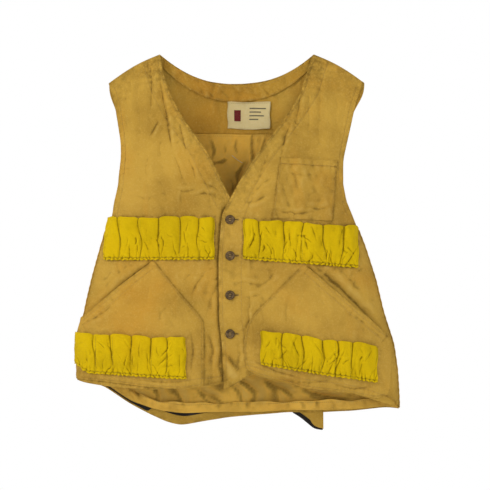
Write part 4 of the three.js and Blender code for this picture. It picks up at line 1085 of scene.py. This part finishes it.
def makeNeckFacing():
    u, v = grid(30, 160)
    x = -0.113 + 0.226 * u
    zt = backTopZ(x) - 0.0018
    wide = 0.0245 * (1 - 0.42 * (np.abs(x) / 0.119) ** 2)
    z = zt - wide * (1 - v)
    relief = 0.0004 * soft["mid"](x + 5, z) + 0.0005 * soft["small"](x + 6, z)
    for i in range(9):
        c = -0.09 + 0.0225 * i
        relief = relief + fold(x, z, [(c - 0.010, -0.045), (c, -0.056), (c + 0.013, -0.068)],
                               0.0008, 0.0018, 0.6)
    relief = relief + 0.0014 * bump(v, 0.16)
    p = raised(x, bodyY(1, x, z), z, 1, backRelief(x, z) - thick["canvas"] - 0.0009 - relief)
    piece = clothPiece("neckFacing", p, thick["tape"], "lining", 1, -relief, 0.6 * bump(v - 0.0, 0.12))
    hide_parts("neck_facing")
    attach(piece, "vest_back")
    declareSheet(piece, p, 0.226)

innerFolds = [
    ([(0.025, -0.112), (0.024, -0.145), (0.028, -0.190)], 0.0034, 0.0026),
    ([(0.034, -0.118), (0.031, -0.145), (0.020, -0.178)], 0.0020, 0.0030),
    ([(0.016, -0.160), (0.002, -0.182), (-0.004, -0.225)], 0.0034, 0.0036),
    ([(-0.048, -0.178), (-0.034, -0.165), (-0.012, -0.160)], 0.0028, 0.0034),
    ([(-0.040, -0.128), (-0.036, -0.146), (-0.040, -0.170)], 0.0018, 0.0034),
    ([(0.000, -0.125), (-0.003, -0.140), (0.003, -0.158)], 0.0014, 0.0030),
    ([(0.046, -0.120), (0.041, -0.140), (0.030, -0.160)], 0.0022, 0.0030),
    ([(-0.020, -0.128), (-0.018, -0.150), (-0.024, -0.172)], 0.0013, 0.0030),
    ([(-0.012, -0.185), (-0.006, -0.200), (-0.008, -0.215)], 0.0020, 0.0028),
    ([(-0.150, -0.530), (-0.120, -0.542), (-0.080, -0.540)], 0.0030, 0.0034),
    ([(-0.060, -0.520), (-0.052, -0.535), (-0.030, -0.552)], 0.0028, 0.0032),
    ([(-0.010, -0.512), (0.004, -0.526), (0.008, -0.548)], 0.0026, 0.0032),
    ([(0.040, -0.505), (0.060, -0.520), (0.065, -0.542)], 0.0026, 0.0034),
    ([(0.100, -0.520), (0.130, -0.530), (0.175, -0.536)], 0.0028, 0.0032),
]

def innerBackRelief(x, z):
    r = backRelief(x, z)
    inward = 0
    for points, deep, width in innerFolds:
        inward = inward - fold(x, z, points, deep, width, 0.5)
    for x0, z0, x1, z1, d in [(-0.17, -0.520, -0.150, -0.545, 0.003),
                              (-0.130, -0.515, -0.125, -0.550, 0.0035),
                              (-0.060, -0.525, -0.020, -0.545, 0.003),
                              (0.000, -0.505, 0.030, -0.530, 0.0035),
                              (0.060, -0.515, 0.090, -0.535, 0.003), (0.110, -0.530, 0.170, -0.538, 0.003),
                              (-0.100, -0.520, -0.085, -0.550, 0.0025),
                              (0.030, -0.515, 0.020, -0.550, 0.003)]:
        inward = inward - fold(x, z, [(x0, z0), ((x0 + x1) / 2 + 0.004, (z0 + z1) / 2), (x1, z1)], d, 0.004)
    # it can't press out further than the game bag leaves room for
    return r - np.maximum(inward, -0.0002 - 0.6 * np.maximum(0, bagStandOff(x, z) - 0.0012))

def backGrid(rows, cols, hem, top, inset=1.0):
    u, v = grid(rows, cols)
    hemX = across(outerX(-1, np.full(u.shape, -0.50)) * inset, outerX(1, np.full(u.shape, -0.54)) * inset,
                  np.full(u.shape, -0.52), u)
    bottom = curves[hem](hemX)
    z = bottom + (top - bottom) * v
    x = across(outerX(-1, z) * inset, outerX(1, z) * inset, z, u)
    return u, v, x, z, bottom

def makeBack():
    u, v, x, z, bottom = backGrid(200, 180, "backHem", shape["yokeZ"] - 0.0005)
    relief = innerBackRelief(x, z)
    depth = thick["canvas"] + 0.0004
    p = raised(x, bodyY(1, x, z), z, 1, relief - depth - thick["tape"] / 2)
    wearAndShade = 0.5 * bump(z - bottom, 0.01)
    inner = clothPiece("innerBack", p, thick["tape"], "inner", 1, -relief, np.clip(wearAndShade, 0, 1))
    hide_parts("inner_back")
    attach(inner, "vest_back")
    declareSheet(inner, p, 0.45)

    u, v, x, z, bottom = backGrid(220, 180, "bagHem", shape["yokeZ"] - 0.0005)
    relief = backRelief(x, z)
    for points, deep, width in bagFolds:
        relief = relief + fold(x, z, points, deep, width, 0.7) * smooth((bagStandOff(x, z) - 0.001) / 0.009)
    top = [(t, shape["bagTopZ"] + 0.004) for t in np.linspace(-0.2, 0.2, 30)]
    relief = relief + pucker(x, z, top, 0.0009, 0.013, 0.012, 41)
    relief = relief + pucker(x, z, [(t, shape["yokeZ"] - 0.004) for t in np.linspace(-0.17, 0.16, 30)],
                             0.0005, 0.012, 0.006, 42)
    off = bagStandOff(x, z)
    aroundSide = np.arcsin(np.clip(np.abs(x) / halfWidth(x, z), 0, 1))
    curl = 0.004 * np.sin(x * 46 + 1.1) * np.exp(-(z - bottom) / 0.012)
    curl = curl * smooth((math.pi / 2.4 - aroundSide) / 0.5)
    p = raised(x, bodyY(1, x, z), z, 1, relief + off - thick["canvas"] / 2 + np.maximum(curl, -0.001))
    wearAndShade = 0.6 * bump(z - bottom, 0.006)
    bag = clothPiece("backPanel", p, thick["canvas"], "canvas", 1, relief, np.clip(wearAndShade, 0, 1), 0.0023)
    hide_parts("back_panel")
    attach(bag, "vest_back")
    declareSheet(bag, p, 0.45)

    u, v, x, z, bottom = backGrid(90, 140, "bagHem", -0.345, 0.93)
    showing = smooth((-0.128 - x) / 0.012)
    z = z + (0.0135 - 0.0125 * showing) * (1 - v)
    q = raised(x, bodyY(1, x, z), z, 1,
               backRelief(x, z) + 0.8 * bagStandOff(x, z) - thick["canvas"] - 0.0008)
    ply = clothPiece("bagPly", q, thick["rubber"], "rubber", 1, backRelief(x, z))
    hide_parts("game_bag_ply")
    attach(ply, "vest_back")
    declareSheet(ply, q, 0.45)

    # the hem turned up inside, which curls forwards on the wearer's left
    u, v, x, z, bottom = backGrid(14, 200, "backHem", -0.4, 0.985)
    wide = 0.0145 + 0.0016 * np.sin(x * 61) + 0.0010 * np.sin(x * 137 + 2)
    z = bottom + 0.0005 + wide * v
    x = across(outerX(-1, z) * 0.985, outerX(1, z) * 0.985, z, u)
    curl = 0.0055 * smooth((x - 0.0) / 0.05) * smooth((0.225 - x) / 0.05)
    curl = curl + 0.004 * smooth((x + 0.16) / 0.04) * smooth((-0.02 - x) / 0.04)
    depth = thick["canvas"] + thick["tape"] * 1.5 + 0.0008
    lift = curl * v ** 1.5 + 0.0006 * soft["small"](x, z) * v
    relief = innerBackRelief(x, z)
    p = raised(x, bodyY(1, x, z), z, 1, relief - depth - lift)
    hem = clothPiece("backHem", p, thick["tape"], "inner", 1, -lift)
    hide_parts("back_hem")
    attach(hem, "vest_back")
    declareSheet(hem, p, 0.49)

def makeLabel():
    wide, tall = 0.067, 0.041
    u, v = grid(40, 60)
    x = -0.0145 + wide * u + 0.0006 * np.sin(v * 9)
    z = -0.1125 + tall * v + 0.0008 * np.sin(u * 7 + 1)
    bow = 0.0006 * soft["mid"](x + 9, z) + 0.0010 * bump(1 - v, 0.25) * np.sin(u * 8)
    surf = backRelief(x, z) - thick["canvas"] - 0.0026
    p = raised(x, bodyY(1, x, z), z, 1, surf - bow)
    toEdge = np.minimum(np.minimum(u * wide, (1 - u) * wide), np.minimum(v, 1 - v) * tall)
    wearAndShade = 0.7 * bump(toEdge, 0.002)
    label = clothPiece("label", p, 0.0005, "label", 1, -bow, wearAndShade)
    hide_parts("label")
    attach(label, "vest_back")
    declareSheet(label, p, wide)

    # a plain woven block and plain bars, with no device and no lettering
    def woven(x0, x1, z0, z1):
        # a closed slab that follows the label, sunk a little into it
        v, u = np.meshgrid(np.linspace(0, 1, 5), np.linspace(0, 1, 9), indexing="ij")
        x, z = x0 + (x1 - x0) * u, z0 + (z1 - z0) * v
        bowHere = 0.0006 * soft["mid"](x + 9, z)
        bowHere = bowHere + 0.0010 * bump(1 - (z + 0.1125) / 0.041, 0.25) * np.sin((x + 0.0145) / 0.067 * 8)
        lift = backRelief(x, z) - thick["canvas"] - 0.0026 - bowHere
        layers = [raised(x, bodyY(1, x, z), z, 1, lift - depth).reshape(-1, 3) for depth in (0.0001, 0.0006)]
        index = np.arange(x.size).reshape(x.shape)
        quads = np.stack([index[:-1, :-1], index[:-1, 1:], index[1:, 1:], index[1:, :-1]], -1).reshape(-1, 4)
        loop = np.concatenate([index[0, :-1], index[:-1, -1], index[-1, :0:-1], index[:0:-1, 0]])
        ahead = np.roll(loop, -1)
        sides = np.stack([loop, ahead, ahead + x.size, loop + x.size], -1)
        return np.concatenate(layers), np.concatenate([quads[:, ::-1], quads + x.size, sides])

    vertices, faces = woven(-0.0045, 0.0065, -0.1005, -0.0835)
    attach(meshObject("labelBlock", vertices, faces.tolist(), "maroon", flat=True), "vest_back")
    slabs = [woven(0.020, 0.020 + long, z, z + 0.0016)
             for long, z in ((0.026, -0.0820), (0.018, -0.0875), (0.023, -0.0930), (0.014, -0.0985))]
    vertices = np.concatenate([points for points, _ in slabs])
    faces = np.concatenate([f + i * len(slabs[0][0]) for i, (_, f) in enumerate(slabs)])
    attach(meshObject("labelBars", vertices, faces.tolist(), "grey", flat=True), "vest_back")

# ---------------------------------------------------------------- inner strips
def innerStrip(name, node, body, points, width, side, face, depth, material="lining", crosses=False):
    # A tape along a line of (x, z) points, inside the cloth, widening away from the edge.
    line = np.array(points)
    v = grid(7, len(line))[1]
    x = line[None, :, 0] - side * width * v
    z = line[None, :, 1] + 0 * v
    y = bodyY(face, x, z)
    under = frontRelief(side, x, z) if face < 0 else backRelief(x, z)
    off = under - depth + 0.00025 * soft["small"](x, z + 1)
    p = raised(x, y, z, face, off)
    piece = clothPiece(name, p, thick["tape"], material, face)
    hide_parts(*node)
    attach(piece, body, crosses)
    declareSheet(piece, p, width)

def makeInnerStrips():
    for side, key in ((1, "left"), (-1, "right")):
        depth = thick["canvas"] + 0.0009
        body = key + "_front"
        edge = edgeLine(key + "Edge", -0.2 if side > 0 else -0.235, -0.012, side * 0.0012, 60)
        line = np.array(edge)
        u, v = grid(8, len(line))
        facingWidth = 0.029
        x = line[None, :, 0] + side * facingWidth * v
        z = line[None, :, 1] + 0 * v
        p = raised(x, bodyY(-1, x, z), z, -1, frontRelief(side, x, z) - depth)
        piece = clothPiece(key + "NeckFacing", p, thick["tape"], "lining", -1)
        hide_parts(key + "_neck_facing", key + "_shoulder_facing")
        attach(piece, body, True)
        declareSheet(piece, p, facingWidth)
        hole = holeLine(side, -0.246, -0.075, 0.0012, 50)
        innerStrip(key + "FrontArmholeTape", [key + "_front_armhole_tape", key + "_shoulder_armhole_tape"],
                   body, hole, 0.0085, side, -1, depth + 0.0003, crosses=True)
        hole = holeLine(side, -0.246, -0.124, 0.0012, 40)
        innerStrip(key + "BackArmholeTape", [key + "_back_armhole_tape"], "vest_back", hole, 0.0085, side, 1,
                   thick["canvas"] + thick["tape"] * 1.5 + 0.0008)
        # front hems
        x0, x1 = (0.004, 0.245) if side > 0 else (-0.241, 0.009)
        u, v = grid(6, 120)
        x = x0 + (x1 - x0) * u
        z = curves[key + "Hem"](x) + 0.0008 + 0.012 * v
        p = raised(x, bodyY(-1, x, z), z, -1, frontRelief(side, x, z) - depth)
        hem = clothPiece(key + "FrontHem", p, thick["tape"], "canvas", -1)
        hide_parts(key + "_front_hem")
        attach(hem, body)
        declareSheet(hem, p, abs(x1 - x0))
    # the stand behind the buttons
    u, v = grid(100, 10)
    standWidth = 0.030
    x = 0.0105 - standWidth * (1 - u)
    z = -0.488 + (0.488 - 0.262) * v
    p = raised(x, bodyY(-1, x, z), z, -1, frontRelief(-1, x, z) - thick["canvas"] - 0.0009)
    stand = clothPiece("buttonStand", p, thick["tape"], "lining", -1)
    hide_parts("button_stand")
    attach(stand, "right_front")
    declareSheet(stand, p, standWidth)

def makeSideSeams():
    for side, key in ((1, "left"), (-1, "right")):
        z0, z1 = (-0.5455, -0.271) if side > 0 else (-0.5005, -0.257)
        u, v = grid(120, 16)
        z = z0 + (z1 - z0) * v
        turn = np.radians(-3.5 + 14 * u)
        x = side * halfWidth(side * 0.1 + 0 * z, z) * np.cos(turn)
        y = np.where(turn < 0, shape["frontDepth"], shape["backDepth"]) * np.sin(turn)
        relief = 0.0004 * np.sin(z * 2 * np.pi / 0.011 + 2 * soft["mid"](x, z)) * (0.3 + u)
        outward = bagStandOff(x, z) * (turn > 0) + backRelief(x, z) * (turn > 0) + 0.0007 + relief
        p = np.stack([x + side * outward * np.cos(turn), y + outward * np.sin(turn), z], -1)
        piece = clothPiece(key + "SideSeam", p, thick["tape"], "canvas", 1, relief)
        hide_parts(key + "_side_seam")
        attach(piece, "vest_back")
        declareSheet(piece, p, 0.012)

def makeBagCorner():
    edge = table([(0.086, -0.556), (0.098, -0.563), (0.107, -0.570), (0.121, -0.5815),
                  (0.134, -0.5835), (0.1365, -0.583)], 0.003)
    for name, node, material, inset, shift, top in (("bagCorner", "bag_corner", "canvas", 0.0, 0.0, -0.5545),
                                                    ("bagCornerPly", "bag_corner_ply",
                                                     "rubber", -0.0016, -0.0014, -0.562)):
        u, v = grid(24, 34)
        x = 0.088 + (0.0475 if material == "canvas" else 0.0465) * u
        bottom = edge(x) + inset
        reachUp = np.maximum(top, bottom + 0.003) if material == "canvas" else bottom + 0.006 + 0.004 * u
        z = bottom + (reachUp - bottom) * v
        base = bodyY(1, x, np.full(x.shape, -0.55)) + 0.0158
        y = base + shift + 0.0012 * np.sin(u * 5) * (1 - v) - 0.006 * (1 - v) * u ** 2
        p = np.stack([x, y, z], -1)
        piece = clothPiece(name, p, 0.001 if material == "canvas" else thick["rubber"], material, 1)
        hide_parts(node)
        attach(piece, "bag_corner")
        declareSheet(piece, p, 0.047)

# ---------------------------------------------------------------- buttons
def ringMesh(profile, steps, centre):
    # A turned solid about the Y axis through centre. profile holds (radius, y) from axis to axis.
    points, faces = [], []
    for r, y in profile[1:-1]:
        points += [(centre[0] + r * math.cos(a), centre[1] + y, centre[2] + r * math.sin(a))
                   for a in np.linspace(0, 2 * math.pi, steps, False)]
    rows = len(profile) - 2
    for i in range(rows - 1):
        faces += [[i * steps + k, i * steps + (k + 1) % steps, (i + 1) * steps + (k + 1) % steps,
                   (i + 1) * steps + k]
                  for k in range(steps)]
    first, last = len(points), len(points) + 1
    points.append((centre[0], centre[1] + profile[0][1], centre[2]))
    points.append((centre[0], centre[1] + profile[-1][1], centre[2]))
    faces += [[first, (k + 1) % steps, k] for k in range(steps)]
    faces += [[last, (rows - 1) * steps + k, (rows - 1) * steps + (k + 1) % steps] for k in range(steps)]
    return points, faces

def makeButtons():
    turned = {"radius": 0.0073, "back": 0.0015, "front": -0.0015, "dish": -0.0004}
    r, front, dish, back = turned["radius"], turned["front"], turned["dish"], turned["back"]
    profile = [(0, dish), (0.0012, dish), (0.0032, dish - 0.00005), (0.0040, dish - 0.0004),
               (0.0046, front + 0.0002),
               (0.0054, front), (0.0063, front + 0.0002), (0.0070, front + 0.0007), (r, 0),
               (0.0071, back - 0.0005),
               (0.0062, back - 0.0001), (0.003, back), (0, back)]
    for i, (bx, by, bz) in enumerate(buttonSpots, 1):
        points, faces = ringMesh(profile, 40, (bx, by, bz))
        button = meshObject(f"button{i}", points, faces, "button")
        cutters = []
        for s in (-1, 1):
            for t in (-1, 1):
                bpy.ops.mesh.primitive_cylinder_add(vertices=14, radius=0.00062, depth=0.01,
                                                    location=(bx + s * 0.0014, by, bz + t * 0.0014),
                                                    rotation=(math.pi / 2, 0, 0))
                cutters.append(bpy.context.object)
        for cutter in cutters:
            hole = button.modifiers.new("hole", "BOOLEAN")
            hole.operation = "DIFFERENCE"
            hole.object = cutter
            hole.solver = "EXACT"
        depsgraph = bpy.context.evaluated_depsgraph_get()
        done = bpy.data.meshes.new_from_object(button.evaluated_get(depsgraph))
        button.modifiers.clear()
        old = button.data
        button.data = done
        bpy.data.meshes.remove(old)
        for cutter in cutters:
            bpy.data.objects.remove(cutter)
        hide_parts(f"button_{i}")
        attach(button, f"button_{i}")
        # thread: two parallel bars over the dish, and the wound shank behind
        points, faces = [], []
        for t in (-1, 1):
            for k in range(3):
                path = []
                for s in np.linspace(-1, 1, 9):
                    path.append((bx + s * 0.0014, by + dish - 0.0002 - 0.00035 * (1 - abs(s) ** 3),
                                 bz + t * 0.0014 + (k - 1) * 0.00034))
                path = ([(path[0][0], by + 0.0016, path[0][2])] + path
                        + [(path[-1][0], by + 0.0016, path[-1][2])])
                base = len(points)
                a, b = tube(path, 0.00022, 6)
                points += a
                faces += [[base + q for q in f] for f in b]
        for k in range(5):
            path = [(bx + 0.0009 * math.cos(w), by + 0.0017 + 0.00042 * k + 0.00002 * w,
                     bz + 0.0009 * math.sin(w))
                    for w in np.linspace(0, 6, 14)]
            base = len(points)
            a, b = tube(path, 0.00024, 6)
            points += a
            faces += [[base + q for q in f] for f in b]
        thread = meshObject(f"buttonThread{i}", points, faces, "thread")
        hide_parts(f"button_thread_{i}")
        attach(thread, f"button_{i}")

def tube(path, radius, sides=6):
    path = np.array(path, float)
    tangent = np.gradient(path, axis=0)
    tangent /= np.linalg.norm(tangent, axis=1, keepdims=True) + 1e-12
    reference = np.array([0.31, 0.17, 0.93])
    a = np.cross(tangent, reference)
    a /= np.linalg.norm(a, axis=1, keepdims=True) + 1e-12
    b = np.cross(tangent, a)
    points, faces = [], []
    count = len(path)
    for i in range(count):
        r = radius * (0.55 if i in (0, count - 1) else 1)
        for k in range(sides):
            w = 2 * math.pi * k / sides
            points.append(tuple(path[i] + r * (a[i] * math.cos(w) + b[i] * math.sin(w))))
    for i in range(count - 1):
        faces += [[i * sides + k, i * sides + (k + 1) % sides, (i + 1) * sides + (k + 1) % sides,
                   (i + 1) * sides + k]
                  for k in range(sides)]
    faces.append(list(range(sides))[::-1])
    faces.append([(count - 1) * sides + k for k in range(sides)])
    return points, faces

makeBack()
makeYoke()
makeNeckFacing()
makeLabel()
print("back ready")
for side in (1, -1):
    makeFront(side)
    makePocket(side)
makeChestPocket()
print("fronts and pockets ready")
for key in strips:
    makeStrip(key)
makeInnerStrips()
makeSideSeams()
makeBagCorner()
makeButtons()
print("loops, tapes and buttons ready")

# ---------------------------------------------------------------- stitches
def surfaceUnder(names):
    trees = []
    for name in names:
        mesh = bpy.data.objects[name].data
        vertices = np.empty(len(mesh.vertices) * 3)
        mesh.vertices.foreach_get("co", vertices)
        trees.append(BVHTree.FromPolygons(vertices.reshape(-1, 3).tolist(),
                                          [list(f.vertices) for f in mesh.polygons]))
    def cast(x, z, face):
        best = None
        for tree in trees:
            start = Vector((x, -0.3 if face < 0 else (0.3 if face > 0 else 0.0), z))
            hit, normal, _, dist = tree.ray_cast(start, Vector((0, 1 if face <= 0 else -1, 0)))
            if hit and (best is None or dist < best[2]):
                best = (hit, normal, dist)
        return best
    return cast

def stitchRow(cast, points, face, pitch=0.0032, length=0.0023, radius=0.00026):
    line = np.array(points, float)
    steps = np.hypot(*np.diff(line, axis=0).T)
    total = np.concatenate([[0], np.cumsum(steps)])
    made = []
    for s in np.arange(pitch / 2, total[-1] - pitch / 2, pitch):
        path = []
        for k in (-0.5, -0.3, 0, 0.3, 0.5):
            at = s + k * length
            x, z = np.interp(at, total, line[:, 0]), np.interp(at, total, line[:, 1])
            hit = cast(float(x), float(z), face)
            if hit is None:
                break
            lift = radius * (0.75 if abs(k) < 0.4 else -0.4)
            n = hit[1] if hit[1].y * (-1 if face <= 0 else 1) > 0 else -hit[1]
            path.append(tuple(hit[0] + n * lift))
        if len(path) == 5 and max(abs(path[i][1] - path[i + 1][1]) for i in range(4)) < 0.0015:
            made.append(path)
    return made

def stitchObject(name, paths, body, material="thread", crosses=False, radius=0.00026):
    points, faces = [], []
    for path in paths:
        base = len(points)
        a, b = tube(path, radius, 5)
        points += a
        faces += [[base + q for q in f] for f in b]
    piece = meshObject(name, points, faces, material)
    attach(piece, body, crosses)

def makeStitches():
    for side, key in ((1, "left"), (-1, "right")):
        names = [key + "Front", key + "Pocket"] + (["chestPocket", "chestPocketHem"] if side > 0 else [])
        cast = surfaceUnder(names)
        edge, hem = key + "Edge", key + "Hem"
        rows = [edgeLine(edge, -0.24, -0.008, side * 0.0045, 60),
                edgeLine(edge, -0.235, -0.012, side * 0.027, 60),
                holeLine(side, -0.25, -0.05, 0.0075, 50)]
        x0, x1 = (0.004, 0.243) if side > 0 else (-0.238, 0.006)
        rows.append(hemLine(hem, x0, x1, 0.0125, 60))
        if side > 0:
            rows.append(edgeLine(edge, -0.50, -0.245, 0.005, 60))
            rows.append(edgeLine(edge, -0.478, -0.222, 0.034, 60))
            c = chest["corners"]
            rows.append([(c[3][0] + 0.002, c[3][1] - 0.002), (c[0][0] + 0.002, c[0][1])])
            rows.append([(c[2][0] - 0.002, c[2][1] - 0.002), (c[1][0] - 0.002, c[1][1])])
            rows.append([(c[3][0] + 0.002, c[3][1] - 0.0075), (c[2][0] - 0.002, c[2][1] - 0.0075)])
        rows += [pocketOutline(side, 0.0025), mouthLine(side, 0.0095, 40), mouthLine(side, 0.002, 40)]
        paths = []
        for row in rows:
            paths += stitchRow(cast, row, -1)
        stitchObject(key + "FrontStitches", paths, key + "_front", "thread", True)
    for key, s in strips.items():
        cast = surfaceUnder([key + "Loops"])
        paths = stitchRow(cast, s["bottomLine"], -1, 0.0028, 0.002)
        for line in s["seamLines"]:
            paths += stitchRow(cast, line, -1, 0.0030, 0.0021)
        stitchObject(key + "LoopStitches", paths, ("left" if s["side"] > 0 else "right") + "_front",
                     "loopThread")
    cast = surfaceUnder(["backYoke", "backPanel"])
    paths = []
    for row in ([(t, shape["yokeZ"] + 0.003) for t in np.linspace(-0.175, 0.165, 60)],
                [(t, shape["yokeZ"] + 0.009) for t in np.linspace(-0.175, 0.165, 60)],
                [(t, shape["bagTopZ"] + 0.004) for t in np.linspace(-0.2, 0.2, 60)],
                hemLine("bagHem", -0.235, 0.24, 0.012, 80)):
        paths += stitchRow(cast, row, 1)
    inside = surfaceUnder(["backYoke", "innerBack", "neckFacing", "backHem", "label"])
    for row in ([(t, float(backTopZ(t)) - 0.0045) for t in np.linspace(-0.105, 0.105, 50)],
                [(t, float(backTopZ(t)) - 0.0018 - 0.0225 * (1 - 0.42 * (abs(t) / shape["neckHalf"]) ** 2))
                 for t in np.linspace(-0.1, 0.1, 50)],
                [(t, shape["yokeZ"] - 0.003) for t in np.linspace(-0.16, 0.15, 60)],
                [(-0.0125, -0.1105), (0.0505, -0.1105), (0.0505, -0.0735), (-0.0125, -0.0735),
                 (-0.0125, -0.1105)],
                hemLine("backHem", -0.225, 0.235, 0.0125, 80)):
        paths += stitchRow(inside, row, 0)
    stitchObject("backStitches", paths, "vest_back")
    # a loose end of white thread, caught in the yoke seam
    path = []
    for t in np.linspace(0, 1, 14):
        x, z = -0.008 + 0.017 * t, -0.154 - 0.012 * t - 0.001 * math.sin(3 * t)
        hit = inside(x, z, 0)
        path.append((x, hit[0].y - 0.0008, z))
    stitchObject("looseThreadEnd", [path], "vest_back", "white", False, 0.00045)

def makeButtonholes():
    cast = surfaceUnder(["leftFront"])
    paths, slitShades = [], []
    for bx, _, bz in buttonSpots:
        left0, length = bx - 0.004, 0.0165
        for k in range(46):
            t = k / 46 * 2 * math.pi
            cx = left0 + length / 2 + length / 2 * math.cos(t)
            cz = bz + 0.0007 * math.sin(t)
            ox = cx + 0.0013 * math.cos(t)
            oz = cz + 0.0017 * math.copysign(abs(math.sin(t)) ** 0.4, math.sin(t))
            a, b = cast(cx, cz, -1), cast(ox, oz, -1)
            if a and b:
                paths.append([tuple(a[0] + a[1] * 0.0001), tuple((a[0] + b[0]) / 2 + a[1] * 0.0003),
                              tuple(b[0] + b[1] * 0.00005)])
        # a dark tube sunk in each slit: painted shade where the buttonhole opens
        slitShade = []
        for t in np.linspace(0.03, 0.97, 12):
            hit = cast(left0 + length * t, bz, -1)
            slitShade.append((left0 + length * t, hit[0].y - 0.00006, bz))
        slitShades.append(slitShade)
    stitchObject("buttonholeThread", paths, "left_front", "thread", False, 0.0002)
    points, faces = [], []
    for slitShade in slitShades:
        base = len(points)
        a, b = tube(slitShade, 0.00045, 6)
        points += a
        faces += [[base + q for q in f] for f in b]
    piece = meshObject("buttonholeSlitShade", points, faces, "rubber")
    attach(piece, "left_front")

makeStitches()
makeButtonholes()
print("stitches ready")
